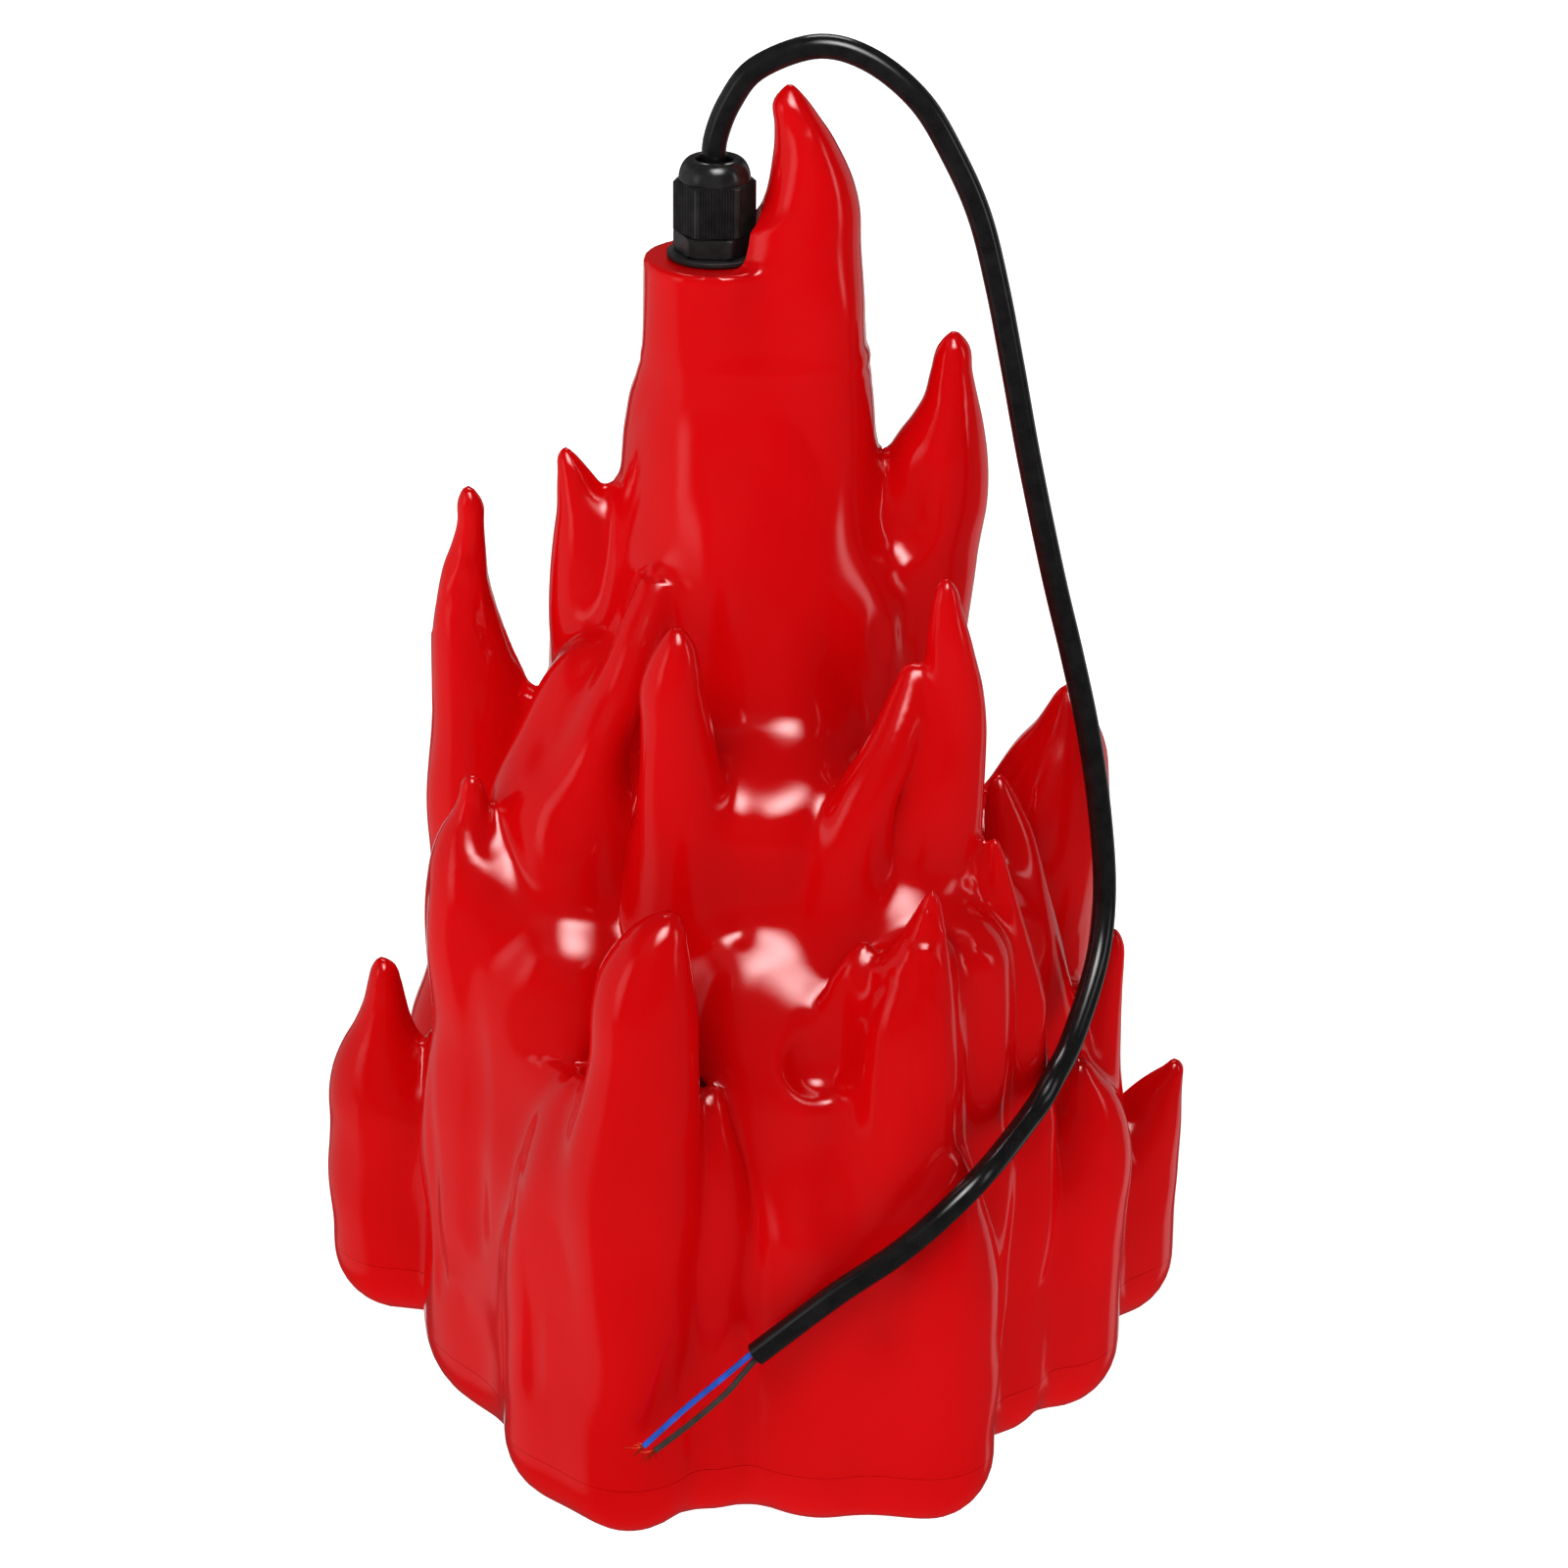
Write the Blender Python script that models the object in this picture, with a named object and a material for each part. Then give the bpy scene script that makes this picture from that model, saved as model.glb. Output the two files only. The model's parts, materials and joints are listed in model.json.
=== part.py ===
"""Flame effect light: a hollow moulded flame on a screwed base tray, with an LED column inside.

The flame is one moulding drawn straight up out of its tool, so every tongue stands on a nearly
upright wall that runs down to the parting line, where the base tray closes it. A cable gland sits
on a flat neck beside the crest, and the supply lead leaves through it. All sizes are in metres,
+Z is up, and the origin is on the ground under the middle of the base.
"""

import math

import bmesh
import bpy
import numpy as np
import openvdb
from mathutils import Matrix, Vector

# Overall sizes. The flame is drawn at the drawn size and stretched to the size asked for.
DRAWN_HEIGHT = 0.370
DRAWN_WIDTH = 0.250
FLAME_HEIGHT = 0.370
FLAME_WIDTH = 0.250

# Clearances
GAP = 0.0003
RUNNING_GAP = 0.0004
# How far a cutter reaches past what it cuts
CUT_ROOM = 0.010

# The two mouldings and the joint between them
WALL = 0.0025
PARTING_HEIGHT = 0.022
BASE_UPRIGHT = 0.002
BASE_ROUNDING = PARTING_HEIGHT - BASE_UPRIGHT
TRAY_WALL = 0.003
SEAL_WIDTH = 0.0014
SEAL_HEIGHT = 0.0024
SEAL_ROOM = 0.0018
LIP_INSET = WALL + SEAL_ROOM + SEAL_WIDTH + GAP
LIP_THICKNESS = 0.0018
LIP_HEIGHT = 0.006
OUTLINE_ACCURACY = 0.0010
DRAFT = 0.014

# How the flame's surface is made
TIP_RADIUS = 0.0026
FOOT_BLEND = 0.011
TIP_BLEND = 0.006
SWELL_BLEND = 0.014
SCOOP_BLEND = 0.0025
SAMPLE_STEP = 0.003
SHELL_TRIANGLES = 3800
CAVITY_TRIANGLES = 1000

# Tongues of flame, each from its tip down to its foot. A row is x, y, height and radius there.
# Below its last row a tongue runs straight down to the ground.
TONGUES = {
    "crest": (
        (0.0068, 0.000, 0.3700, 0.0000), (0.0074, 0.000, 0.3662, 0.0040), (0.0098, 0.000, 0.3596, 0.0069),
        (0.0116, 0.000, 0.3524, 0.0089), (0.0126, 0.000, 0.3451, 0.0106), (0.0124, 0.000, 0.3378, 0.0123),
        (0.0107, 0.000, 0.3286, 0.0144), (0.0105, 0.000, 0.3100, 0.0162),
    ),
    "right_high": (
        (0.0509, 0.004, 0.3027, 0.0000), (0.0509, 0.004, 0.2997, 0.0026), (0.0504, 0.004, 0.2921, 0.0045),
        (0.0500, 0.004, 0.2845, 0.0062), (0.0490, 0.004, 0.2795, 0.0080), (0.0471, 0.004, 0.2723, 0.0107),
        (0.0455, 0.004, 0.2584, 0.0127), (0.0415, 0.004, 0.2400, 0.0155),
    ),
    "left_high": (
        (-0.0519, 0.004, 0.2699, 0.0000), (-0.0512, 0.004, 0.2669, 0.0024), (-0.0498, 0.004, 0.2627, 0.0041),
        (-0.0489, 0.004, 0.2586, 0.0053), (-0.0474, 0.004, 0.2530, 0.0071), (-0.0465, 0.004, 0.2443, 0.0096),
        (-0.0455, 0.004, 0.2289, 0.0120), (-0.0430, 0.004, 0.2000, 0.0150),
    ),
    "left_tall": (
        (-0.0784, 0.008, 0.2564, 0.0000), (-0.0778, 0.008, 0.2525, 0.0028), (-0.0777, 0.008, 0.2463, 0.0040),
        (-0.0785, 0.008, 0.2400, 0.0055), (-0.0795, 0.008, 0.2343, 0.0070), (-0.0800, 0.008, 0.2263, 0.0087),
        (-0.0793, 0.008, 0.2153, 0.0110), (-0.0775, 0.008, 0.2037, 0.0132), (-0.0760, 0.008, 0.1500, 0.0145),
    ),
    "right_tall": (
        (0.0849, 0.004, 0.2023, 0.0000), (0.0853, 0.004, 0.1994, 0.0024), (0.0857, 0.004, 0.1953, 0.0048),
        (0.0854, 0.004, 0.1900, 0.0075), (0.0838, 0.004, 0.1835, 0.0115), (0.0812, 0.004, 0.1722, 0.0155),
        (0.0770, 0.006, 0.1100, 0.0180),
    ),
    "right_short": (
        (0.0981, -0.020, 0.1396, 0.0000), (0.0983, -0.020, 0.1359, 0.0019), (0.0978, -0.020, 0.1299, 0.0038),
        (0.0962, -0.020, 0.1207, 0.0062), (0.0935, -0.020, 0.1084, 0.0095), (0.0840, -0.020, 0.0850, 0.0180),
    ),
    "front_left_ridge": (
        (-0.0205, -0.060, 0.2449, 0.0000), (-0.0203, -0.060, 0.2422, 0.0022), (-0.0205, -0.060, 0.2384, 0.0043),
        (-0.0211, -0.060, 0.2334, 0.0061), (-0.0214, -0.060, 0.2274, 0.0077), (-0.0205, -0.060, 0.2184, 0.0091),
        (-0.0195, -0.060, 0.2031, 0.0102), (-0.0190, -0.058, 0.1500, 0.0106),
    ),
    "front_right_fin": (
        (0.0486, -0.048, 0.2539, 0.0000), (0.0488, -0.048, 0.2506, 0.0019), (0.0489, -0.048, 0.2452, 0.0034),
        (0.0495, -0.048, 0.2389, 0.0048), (0.0503, -0.048, 0.2320, 0.0057), (0.0509, -0.048, 0.2251, 0.0069),
        (0.0502, -0.048, 0.2154, 0.0092), (0.0476, -0.048, 0.2027, 0.0126), (0.0455, -0.048, 0.1871, 0.0150),
        (0.0420, -0.046, 0.1200, 0.0155),
    ),
    "fin_fold": (
        (0.0400, -0.049, 0.2300, 0.0000), (0.0385, -0.052, 0.2215, 0.0030), (0.0340, -0.058, 0.2090, 0.0046),
        (0.0284, -0.062, 0.1976, 0.0056), (0.0240, -0.062, 0.1800, 0.0080),
    ),
    "left_fold": (
        (-0.0265, -0.026, 0.2440, 0.0000), (-0.0290, -0.030, 0.2330, 0.0045), (-0.0345, -0.036, 0.2180, 0.0070),
        (-0.0423, -0.042, 0.2016, 0.0090), (-0.0470, -0.046, 0.1750, 0.0120),
    ),
    "left_front_lick": (
        (-0.0749, -0.045, 0.1960, 0.0000), (-0.0747, -0.045, 0.1935, 0.0018), (-0.0746, -0.045, 0.1892, 0.0027),
        (-0.0751, -0.045, 0.1846, 0.0041), (-0.0754, -0.045, 0.1798, 0.0066), (-0.0741, -0.045, 0.1737, 0.0102),
        (-0.0715, -0.045, 0.1639, 0.0148), (-0.0680, -0.042, 0.1200, 0.0172),
    ),
    "front_left_lobe": (
        (-0.0460, -0.090, 0.1290, 0.0000), (-0.0465, -0.090, 0.1220, 0.0045), (-0.0478, -0.091, 0.1120, 0.0085),
        (-0.0490, -0.091, 0.1000, 0.0122), (-0.0500, -0.091, 0.0700, 0.0145),
    ),
    "front_left": (
        (-0.0206, -0.099, 0.1819, 0.0000), (-0.0219, -0.099, 0.1792, 0.0036), (-0.0243, -0.100, 0.1744, 0.0068),
        (-0.0262, -0.101, 0.1680, 0.0100), (-0.0275, -0.102, 0.1595, 0.0125), (-0.0282, -0.102, 0.1436, 0.0141),
        (-0.0292, -0.102, 0.1313, 0.0155), (-0.0306, -0.101, 0.1188, 0.0172), (-0.0318, -0.101, 0.0850, 0.0188),
    ),
    "front_left_small": (
        (-0.0104, -0.094, 0.1306, 0.0000), (-0.0105, -0.095, 0.1277, 0.0017), (-0.0106, -0.096, 0.1207, 0.0034),
        (-0.0104, -0.097, 0.1060, 0.0066), (-0.0098, -0.098, 0.0890, 0.0094), (-0.0090, -0.098, 0.0500, 0.0110),
    ),
    "front_right": (
        (0.0458, -0.086, 0.1851, 0.0000), (0.0455, -0.086, 0.1823, 0.0024), (0.0449, -0.086, 0.1772, 0.0046),
        (0.0435, -0.087, 0.1705, 0.0072), (0.0419, -0.088, 0.1605, 0.0104), (0.0409, -0.089, 0.1491, 0.0130),
        (0.0405, -0.089, 0.1370, 0.0142), (0.0385, -0.088, 0.1000, 0.0152),
    ),
    "front_right_low": (
        (0.0520, -0.095, 0.1120, 0.0000), (0.0520, -0.095, 0.1060, 0.0050), (0.0505, -0.096, 0.0950, 0.0105),
        (0.0490, -0.096, 0.0700, 0.0165),
    ),
    "mid_fold": (
        (0.0289, -0.083, 0.1670, 0.0000), (0.0280, -0.084, 0.1633, 0.0022), (0.0252, -0.086, 0.1541, 0.0042),
        (0.0238, -0.087, 0.1438, 0.0052), (0.0250, -0.085, 0.1316, 0.0050), (0.0260, -0.082, 0.1100, 0.0080),
    ),
    "right_front": (
        (0.0890, -0.044, 0.1110, 0.0000), (0.0897, -0.044, 0.1062, 0.0026), (0.0902, -0.043, 0.1013, 0.0055),
        (0.0895, -0.042, 0.0955, 0.0088), (0.0880, -0.041, 0.0859, 0.0130), (0.0840, -0.039, 0.0700, 0.0188),
    ),
    "right_front_small": (
        (0.0632, -0.056, 0.1845, 0.0000), (0.0642, -0.056, 0.1770, 0.0026), (0.0670, -0.057, 0.1600, 0.0050),
        (0.0700, -0.058, 0.1265, 0.0080), (0.0690, -0.058, 0.0850, 0.0125),
    ),
    "right_tall_fold": (
        (0.0655, -0.018, 0.1850, 0.0000), (0.0672, -0.020, 0.1742, 0.0042), (0.0705, -0.023, 0.1600, 0.0065),
        (0.0735, -0.028, 0.1400, 0.0090), (0.0760, -0.032, 0.1100, 0.0120),
    ),
    "far_left": (
        (-0.1066, 0.009, 0.1134, 0.0000), (-0.1061, 0.009, 0.1109, 0.0026), (-0.1060, 0.009, 0.1059, 0.0045),
        (-0.1062, 0.009, 0.0996, 0.0060), (-0.1069, 0.009, 0.0932, 0.0080), (-0.1074, 0.009, 0.0869, 0.0106),
        (-0.1066, 0.009, 0.0805, 0.0136), (-0.1038, 0.009, 0.0709, 0.0182), (-0.1024, 0.010, 0.0600, 0.0198),
    ),
    "far_right": (
        (0.1205, 0.008, 0.0836, 0.0000), (0.1200, 0.008, 0.0810, 0.0018), (0.1180, 0.008, 0.0778, 0.0042),
        (0.1152, 0.008, 0.0729, 0.0073), (0.1111, 0.008, 0.0648, 0.0118), (0.1036, 0.009, 0.0500, 0.0190),
    ),
    "back_right_low": (
        (0.0930, 0.058, 0.1060, 0.0000), (0.0930, 0.058, 0.1000, 0.0038), (0.0910, 0.059, 0.0900, 0.0085),
        (0.0870, 0.060, 0.0790, 0.0145), (0.0840, 0.060, 0.0600, 0.0198),
    ),
    "back_right": (
        (0.0380, 0.096, 0.1480, 0.0000), (0.0390, 0.096, 0.1410, 0.0038), (0.0425, 0.095, 0.1290, 0.0078),
        (0.0460, 0.093, 0.1160, 0.0122), (0.0480, 0.092, 0.0850, 0.0198),
    ),
    "back_low": (
        (0.0130, 0.103, 0.1140, 0.0000), (0.0120, 0.103, 0.1070, 0.0040), (0.0080, 0.102, 0.0960, 0.0090),
        (0.0050, 0.1017, 0.0800, 0.0140), (0.0040, 0.1017, 0.0550, 0.0188),
    ),
    "back_left": (
        (-0.0520, 0.094, 0.1620, 0.0000), (-0.0505, 0.095, 0.1550, 0.0036), (-0.0460, 0.096, 0.1430, 0.0076),
        (-0.0430, 0.095, 0.1270, 0.0125), (-0.0420, 0.094, 0.0900, 0.0198),
    ),
    "back_left_low": (
        (-0.0900, 0.060, 0.1220, 0.0000), (-0.0890, 0.060, 0.1150, 0.0040), (-0.0860, 0.059, 0.1040, 0.0088),
        (-0.0840, 0.058, 0.0900, 0.0140), (-0.0840, 0.058, 0.0650, 0.0198),
    ),
    "back_right_tall": (
        (0.0500, 0.052, 0.2120, 0.0000), (0.0495, 0.053, 0.2050, 0.0034), (0.0465, 0.054, 0.1920, 0.0066),
        (0.0430, 0.053, 0.1760, 0.0110), (0.0420, 0.052, 0.1350, 0.0170),
    ),
    "back_mid": (
        (-0.0080, 0.070, 0.2360, 0.0000), (-0.0070, 0.071, 0.2280, 0.0036), (-0.0030, 0.071, 0.2140, 0.0072),
        (0.0010, 0.070, 0.1960, 0.0112), (0.0000, 0.068, 0.1500, 0.0165),
    ),
    "back_left_tall": (
        (-0.0490, 0.055, 0.2200, 0.0000), (-0.0500, 0.055, 0.2130, 0.0034), (-0.0505, 0.054, 0.1990, 0.0070),
        (-0.0480, 0.052, 0.1820, 0.0115), (-0.0460, 0.050, 0.1400, 0.0172),
    ),
    "back_high": (
        (-0.0060, 0.040, 0.2960, 0.0000), (-0.0070, 0.041, 0.2880, 0.0036), (-0.0110, 0.041, 0.2740, 0.0070),
        (-0.0140, 0.039, 0.2560, 0.0108), (-0.0120, 0.036, 0.2200, 0.0158),
    ),
    "column": (
        (0.0000, 0.010, 0.3040, 0.0000), (-0.0020, 0.010, 0.2985, 0.0195), (-0.0035, 0.011, 0.2930, 0.0258),
        (-0.0045, 0.011, 0.2870, 0.0292), (-0.0052, 0.009, 0.2750, 0.0318), (-0.0052, 0.004, 0.2550, 0.0327),
        (-0.0040, -0.001, 0.2174, 0.0337), (-0.0010, -0.004, 0.1700, 0.0370),
    ),
}
# How wide the valley is where these join what is beside them, instead of the usual width
VALLEYS = {
    "crest": 0.012, "column": 0.010, "fin_fold": 0.007, "left_fold": 0.006, "mid_fold": 0.006,
    "front_left_small": 0.005, "front_left_lobe": 0.020, "right_front_small": 0.005,
}
# Rounded swellings without a tip: x, y, radius, top z, height of the dome
SWELLS = {
    "left_front_body": (-0.049, -0.053, 0.026, 0.162, 0.032),
    "left_shelf": (-0.050, -0.032, 0.022, 0.204, 0.030),
    "left_slope": (-0.045, -0.020, 0.016, 0.224, 0.032),
    "left_base": (-0.068, -0.028, 0.023, 0.122, 0.034),
    "shelf_upper": (0.003, -0.036, 0.031, 0.207, 0.024),
    "shelf_lower": (0.033, -0.052, 0.026, 0.176, 0.022),
    "front_slope": (-0.002, -0.064, 0.025, 0.160, 0.024),
    "front_middle": (0.013, -0.077, 0.020, 0.141, 0.022),
    "front_wall": (0.020, -0.086, 0.027, 0.104, 0.036),
    "right_slope": (0.058, -0.034, 0.022, 0.164, 0.032),
    "right_nub": (0.0555, -0.070, 0.012, 0.168, 0.014),
    "right_base": (0.080, -0.010, 0.022, 0.112, 0.034),
    "column_skirt": (0.014, -0.008, 0.026, 0.258, 0.040),
    "back_swell": (0.006, 0.062, 0.034, 0.170, 0.040),
    "back_slope": (0.000, 0.030, 0.036, 0.236, 0.050),
}
# Hollows between the licks of flame, open upwards: x, y, height of the bottom, radius, depth of the bowl
SCOOPS = {
    "left_high": (-0.0497, -0.0287, 0.2281, 0.0060, 0.006),
    "right_lens": (0.0366, -0.0302, 0.2217, 0.0055, 0.008),
    "right_thin": (0.0414, -0.0206, 0.2238, 0.0032, 0.004),
    "middle": (0.0172, -0.0950, 0.1262, 0.0100, 0.012),
    "right_basin": (0.0395, -0.0170, 0.2440, 0.0100, 0.012),
    "small_dip": (-0.0042, -0.0748, 0.1610, 0.0045, 0.005),
    "nub": (0.0557, -0.0808, 0.1637, 0.0034, 0.004),
    "small_nub": (0.0621, -0.0768, 0.1644, 0.0026, 0.005),
    "lick": (-0.0692, -0.0559, 0.1756, 0.0055, 0.008),
    "left_fork": (-0.0495, -0.0612, 0.1826, 0.0036, 0.006),
    "left_long": (-0.0796, -0.0698, 0.0576, 0.0090, 0.014),
    "low_front": (0.0357, -0.1168, 0.0582, 0.0070, 0.010),
    "lobe_crease": (-0.0601, -0.1072, 0.0393, 0.0045, 0.010),
    "left_crease": (-0.0896, -0.0523, 0.0389, 0.0040, 0.010),
}
# The round core that the tongues grow out of: height and radius
CORE = (
    (0.000, 0.092), (0.050, 0.090), (0.085, 0.084), (0.110, 0.076), (0.140, 0.066), (0.170, 0.056),
    (0.200, 0.046), (0.230, 0.034), (0.260, 0.024), (0.290, 0.015), (0.330, 0.006),
)

# The neck, a round flat-topped seat for the gland beside the crest
CREST_ABOVE_NECK = 0.046
NECK_TOP = FLAME_HEIGHT - CREST_ABOVE_NECK
NECK_X, NECK_Y = -0.0123, 0.0
NECK_RADIUS = 0.0185
NECK_EDGE = 0.0012
NECK_DRAFT = 0.012
NECK_BLEND = 0.007
NECK_TOP_BLEND = 0.0035

# Screws that hold the tray to pillars inside the flame
SCREW_BEARINGS = (-149, -101, -27, 36, 93, 145)
SCREW_INSET = 0.020
PILLAR_RADIUS = 0.0055
PILLAR_HEIGHT = 0.042
PILLAR_RIB = 0.0024
TRAY_SCREW_RADIUS = 0.00195
TRAY_SCREW_HEAD_RADIUS = 0.0039
TRAY_SCREW_HEAD_HEIGHT = 0.0026
TRAY_SCREW_GRIP = 0.0155
COUNTERBORE_DEPTH = 0.010

# The LED column: a hexagonal tube on a round foot, an LED strip on each of its six faces
CARRIER_ACROSS_FLATS = 0.036
CARRIER_BORE = 0.015
CARRIER_FOOT_RADIUS = 0.031
CARRIER_FOOT_HEIGHT = 0.003
CARRIER_HEADROOM = 0.004
CARRIER_STANDOFF = 0.010
CARRIER_SCREW_CIRCLE = 0.0255
CARRIER_SCREW_BEARINGS = (90, 210, 330)
STANDOFF_RADIUS = 0.0045
SMALL_SCREW_RADIUS = 0.0013
SMALL_SCREW_HEAD_RADIUS = 0.0030
SMALL_SCREW_HEAD_HEIGHT = 0.0020
SMALL_SCREW_GRIP = 0.0045
CAP_THICKNESS = 0.003
CAP_PLUG = 0.008
CAP_RADIUS = 0.0195
STRIP_WIDTH = 0.016
STRIP_THICKNESS = 0.0016
STRIP_END_MARGIN = 0.008
LED_SIZE = 0.005
LED_HEIGHT = 0.0015
LED_PITCH = 0.034

# The LED driver and the terminal block on the tray floor
DRIVER_CENTRE = (0.0, 0.232 * FLAME_WIDTH)
DRIVER_SIZE = (0.296 * FLAME_WIDTH, 0.144 * FLAME_WIDTH, 0.022)
DRIVER_EDGE = 0.0020
DRIVER_LIFT = 0.002
DRIVER_LUG_RADIUS = 0.0052
DRIVER_LUG_THICKNESS = 0.003
DRIVER_LUG_REACH = 0.0055
DRIVER_STANDOFF = 0.005
TERMINAL_CENTRE = (-0.208 * FLAME_WIDTH, 0.0)
TERMINAL_SIZE = (0.016, 0.034, 0.015)
TERMINAL_PITCH = 0.010
TERMINAL_GROOVE = 0.0016
TERMINAL_GROOVE_DEPTH = 0.004
TERMINAL_SCREW_RADIUS = 0.0022
TERMINAL_SCREW_DEPTH = 0.005
TERMINAL_WIRE_HEIGHT = 0.006

# The leads
LEAD_RADIUS = 0.0032
CORE_RADIUS = 0.0008
DRIVER_LEAD_RADIUS = 0.0018
LED_LEAD_RADIUS = 0.0012
LEAD_STEP = 0.012
LEAD_ROOM = 0.0015
CORE_SPREAD = 1.15
CORE_STRAIGHT = 0.006
CORE_BEND = 0.004
CORE_STEP = 0.004

# The cable gland, made to suit the lead that it clamps
GLAND_ACROSS_FLATS = 0.0189
GLAND_CORNER_RADIUS = 0.0108
GLAND_TURN = 5.5
FLANGE_TURN = -6.0
WASHER_RADIUS = 0.0124
WASHER_THICKNESS = 0.0014
FLANGE_HEIGHT = 0.0050
CAP_HEX_HEIGHT = 0.0135
CAP_DOME_HEIGHT = 0.0057
CAP_DOME_RADIUS = 0.0094
CAP_MOUTH_RADIUS = LEAD_RADIUS + 0.0016
CAP_WALL = 0.0018
CAP_EDGE = 0.0009
BODY_BORE = LEAD_RADIUS + 0.0008
CLAW_RADIUS = LEAD_RADIUS + 0.0025
CLAW_WALL = 0.0009
CLAW_TAPER = 0.0005
CLAW_COLLAR = CLAW_RADIUS + 0.0012
SPIGOT_RADIUS = CLAW_RADIUS + 0.0016
SPIGOT_HEIGHT = 0.0074
THREAD_RADIUS = SPIGOT_RADIUS + 0.0002
THREAD_LENGTH = 0.012
CLAW_COLLAR_HEIGHT = 0.0012
CLAW_SLOT = 0.0014
CLAW_FINGER_HEIGHT = 0.0048
BUSH_SEAT = 0.0030
LOCKNUT_ACROSS_FLATS = 0.020
LOCKNUT_CORNER_RADIUS = 0.0112
LOCKNUT_HEIGHT = 0.005
LOCKNUT_CHAMFER = 0.0008
LOCKNUT_TURN = 12
SEAT_CLEARANCE = 0.0004
CAP_LIFT_ROOM = 0.006

# The free lead's route, from inside the gland to the cut end of the sheath
LEAD_ROUTE = (
    (-0.0123, 0.0000, 0.3480), (-0.0122, 0.0000, 0.3550), (-0.0085, 0.0000, 0.3650),
    (-0.0015, 0.0000, 0.3740), (0.0135, -0.0010, 0.3800), (0.0270, -0.0020, 0.3770),
    (0.0400, -0.0040, 0.3670), (0.0490, -0.0060, 0.3530), (0.0560, -0.0080, 0.3380),
    (0.0610, -0.0100, 0.3200), (0.0655, -0.0120, 0.2995), (0.0710, -0.0140, 0.2730),
    (0.0780, -0.0170, 0.2430), (0.0840, -0.0180, 0.2200), (0.0890, -0.0200, 0.1990),
    (0.0930, -0.0220, 0.1760), (0.0950, -0.0260, 0.1540), (0.0930, -0.0360, 0.1380),
    (0.0859, -0.0541, 0.1236), (0.0801, -0.0671, 0.1185), (0.0740, -0.0770, 0.1130),
    (0.0591, -0.1024, 0.1075), (0.0411, -0.1133, 0.0943), (0.0220, -0.1162, 0.0805),
    (0.0020, -0.1170, 0.0630),
)
# How the bare cores run on from the cut sheath to their tips
BLUE_CORE_ROUTE = ((-0.0070, -0.1205, 0.0575), (-0.0165, -0.1235, 0.0500), (-0.0270, -0.1250, 0.0395))
BROWN_CORE_ROUTE = ((-0.0055, -0.1215, 0.0540), (-0.0140, -0.1240, 0.0468), (-0.0240, -0.1255, 0.0385))

# Surface finishes: base colour, roughness, metallic
FINISHES = {
    "flame_red": ((0.62, 0.006, 0.012), 0.14, 0.0),
    "black_nylon": ((0.012, 0.011, 0.011), 0.38, 0.0),
    "black_rubber": ((0.010, 0.010, 0.010), 0.75, 0.0),
    "lead_sheath": ((0.009, 0.008, 0.008), 0.34, 0.0),
    "core_blue": ((0.020, 0.090, 0.420), 0.35, 0.0),
    "core_brown": ((0.055, 0.040, 0.032), 0.40, 0.0),
    "white_plastic": ((0.75, 0.75, 0.72), 0.45, 0.0),
    "clear_nylon": ((0.70, 0.72, 0.68), 0.35, 0.0),
    "aluminium": ((0.72, 0.73, 0.75), 0.35, 1.0),
    "steel": ((0.60, 0.60, 0.62), 0.28, 1.0),
    "led_board": ((0.82, 0.80, 0.70), 0.50, 0.0),
}


def clear_scene():
    """Start from an empty scene."""
    for obj in list(bpy.data.objects):
        bpy.data.objects.remove(obj, do_unlink=True)


def finish(name):
    """The material of that name, made once."""
    found = bpy.data.materials.get(name)
    if found:
        return found
    colour, roughness, metallic = FINISHES[name]
    material = bpy.data.materials.new(name)
    material.use_nodes = True
    shader = material.node_tree.nodes["Principled BSDF"]
    shader.inputs["Base Color"].default_value = (*colour, 1.0)
    shader.inputs["Roughness"].default_value = roughness
    shader.inputs["Metallic"].default_value = metallic
    return material


def add_object(name, data, material=None):
    """Put mesh or curve data in the scene as one object."""
    obj = bpy.data.objects.new(name, data)
    bpy.context.scene.collection.objects.link(obj)
    if material:
        data.materials.append(finish(material))
    return obj


def add_mesh(name, vertices, faces, material=None):
    """An object from vertex and face lists."""
    mesh = bpy.data.meshes.new(name)
    mesh.from_pydata([tuple(v) for v in vertices], [], [tuple(f) for f in faces])
    mesh.validate()
    return add_object(name, mesh, material)


def add_bmesh(name, bm, material=None):
    """An object from a bmesh, with its faces turned outwards."""
    bmesh.ops.recalc_face_normals(bm, faces=bm.faces)
    mesh = bpy.data.meshes.new(name)
    bm.to_mesh(mesh)
    bm.free()
    return add_object(name, mesh, material)


def shade_round(obj, degrees=35):
    """Smooth shading with sharp edges where faces meet at more than this angle."""
    obj.data.shade_smooth()
    obj.data.set_sharp_from_angle(angle=math.radians(degrees))


def as_cutter(obj):
    """Keep an object out of the model: it only cuts others."""
    obj.hide_render = True
    obj.display_type = "WIRE"
    return obj


def boolean(obj, other, operation):
    """Cut, join or intersect an object with another."""
    modifier = obj.modifiers.new(operation.lower(), "BOOLEAN")
    modifier.operation = operation
    modifier.object = other


def parent_keep_place(children, parent):
    """Parent objects without moving them."""
    for child in children:
        child.parent = parent
        child.matrix_parent_inverse = Matrix.Translation(parent.location).inverted()


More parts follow.
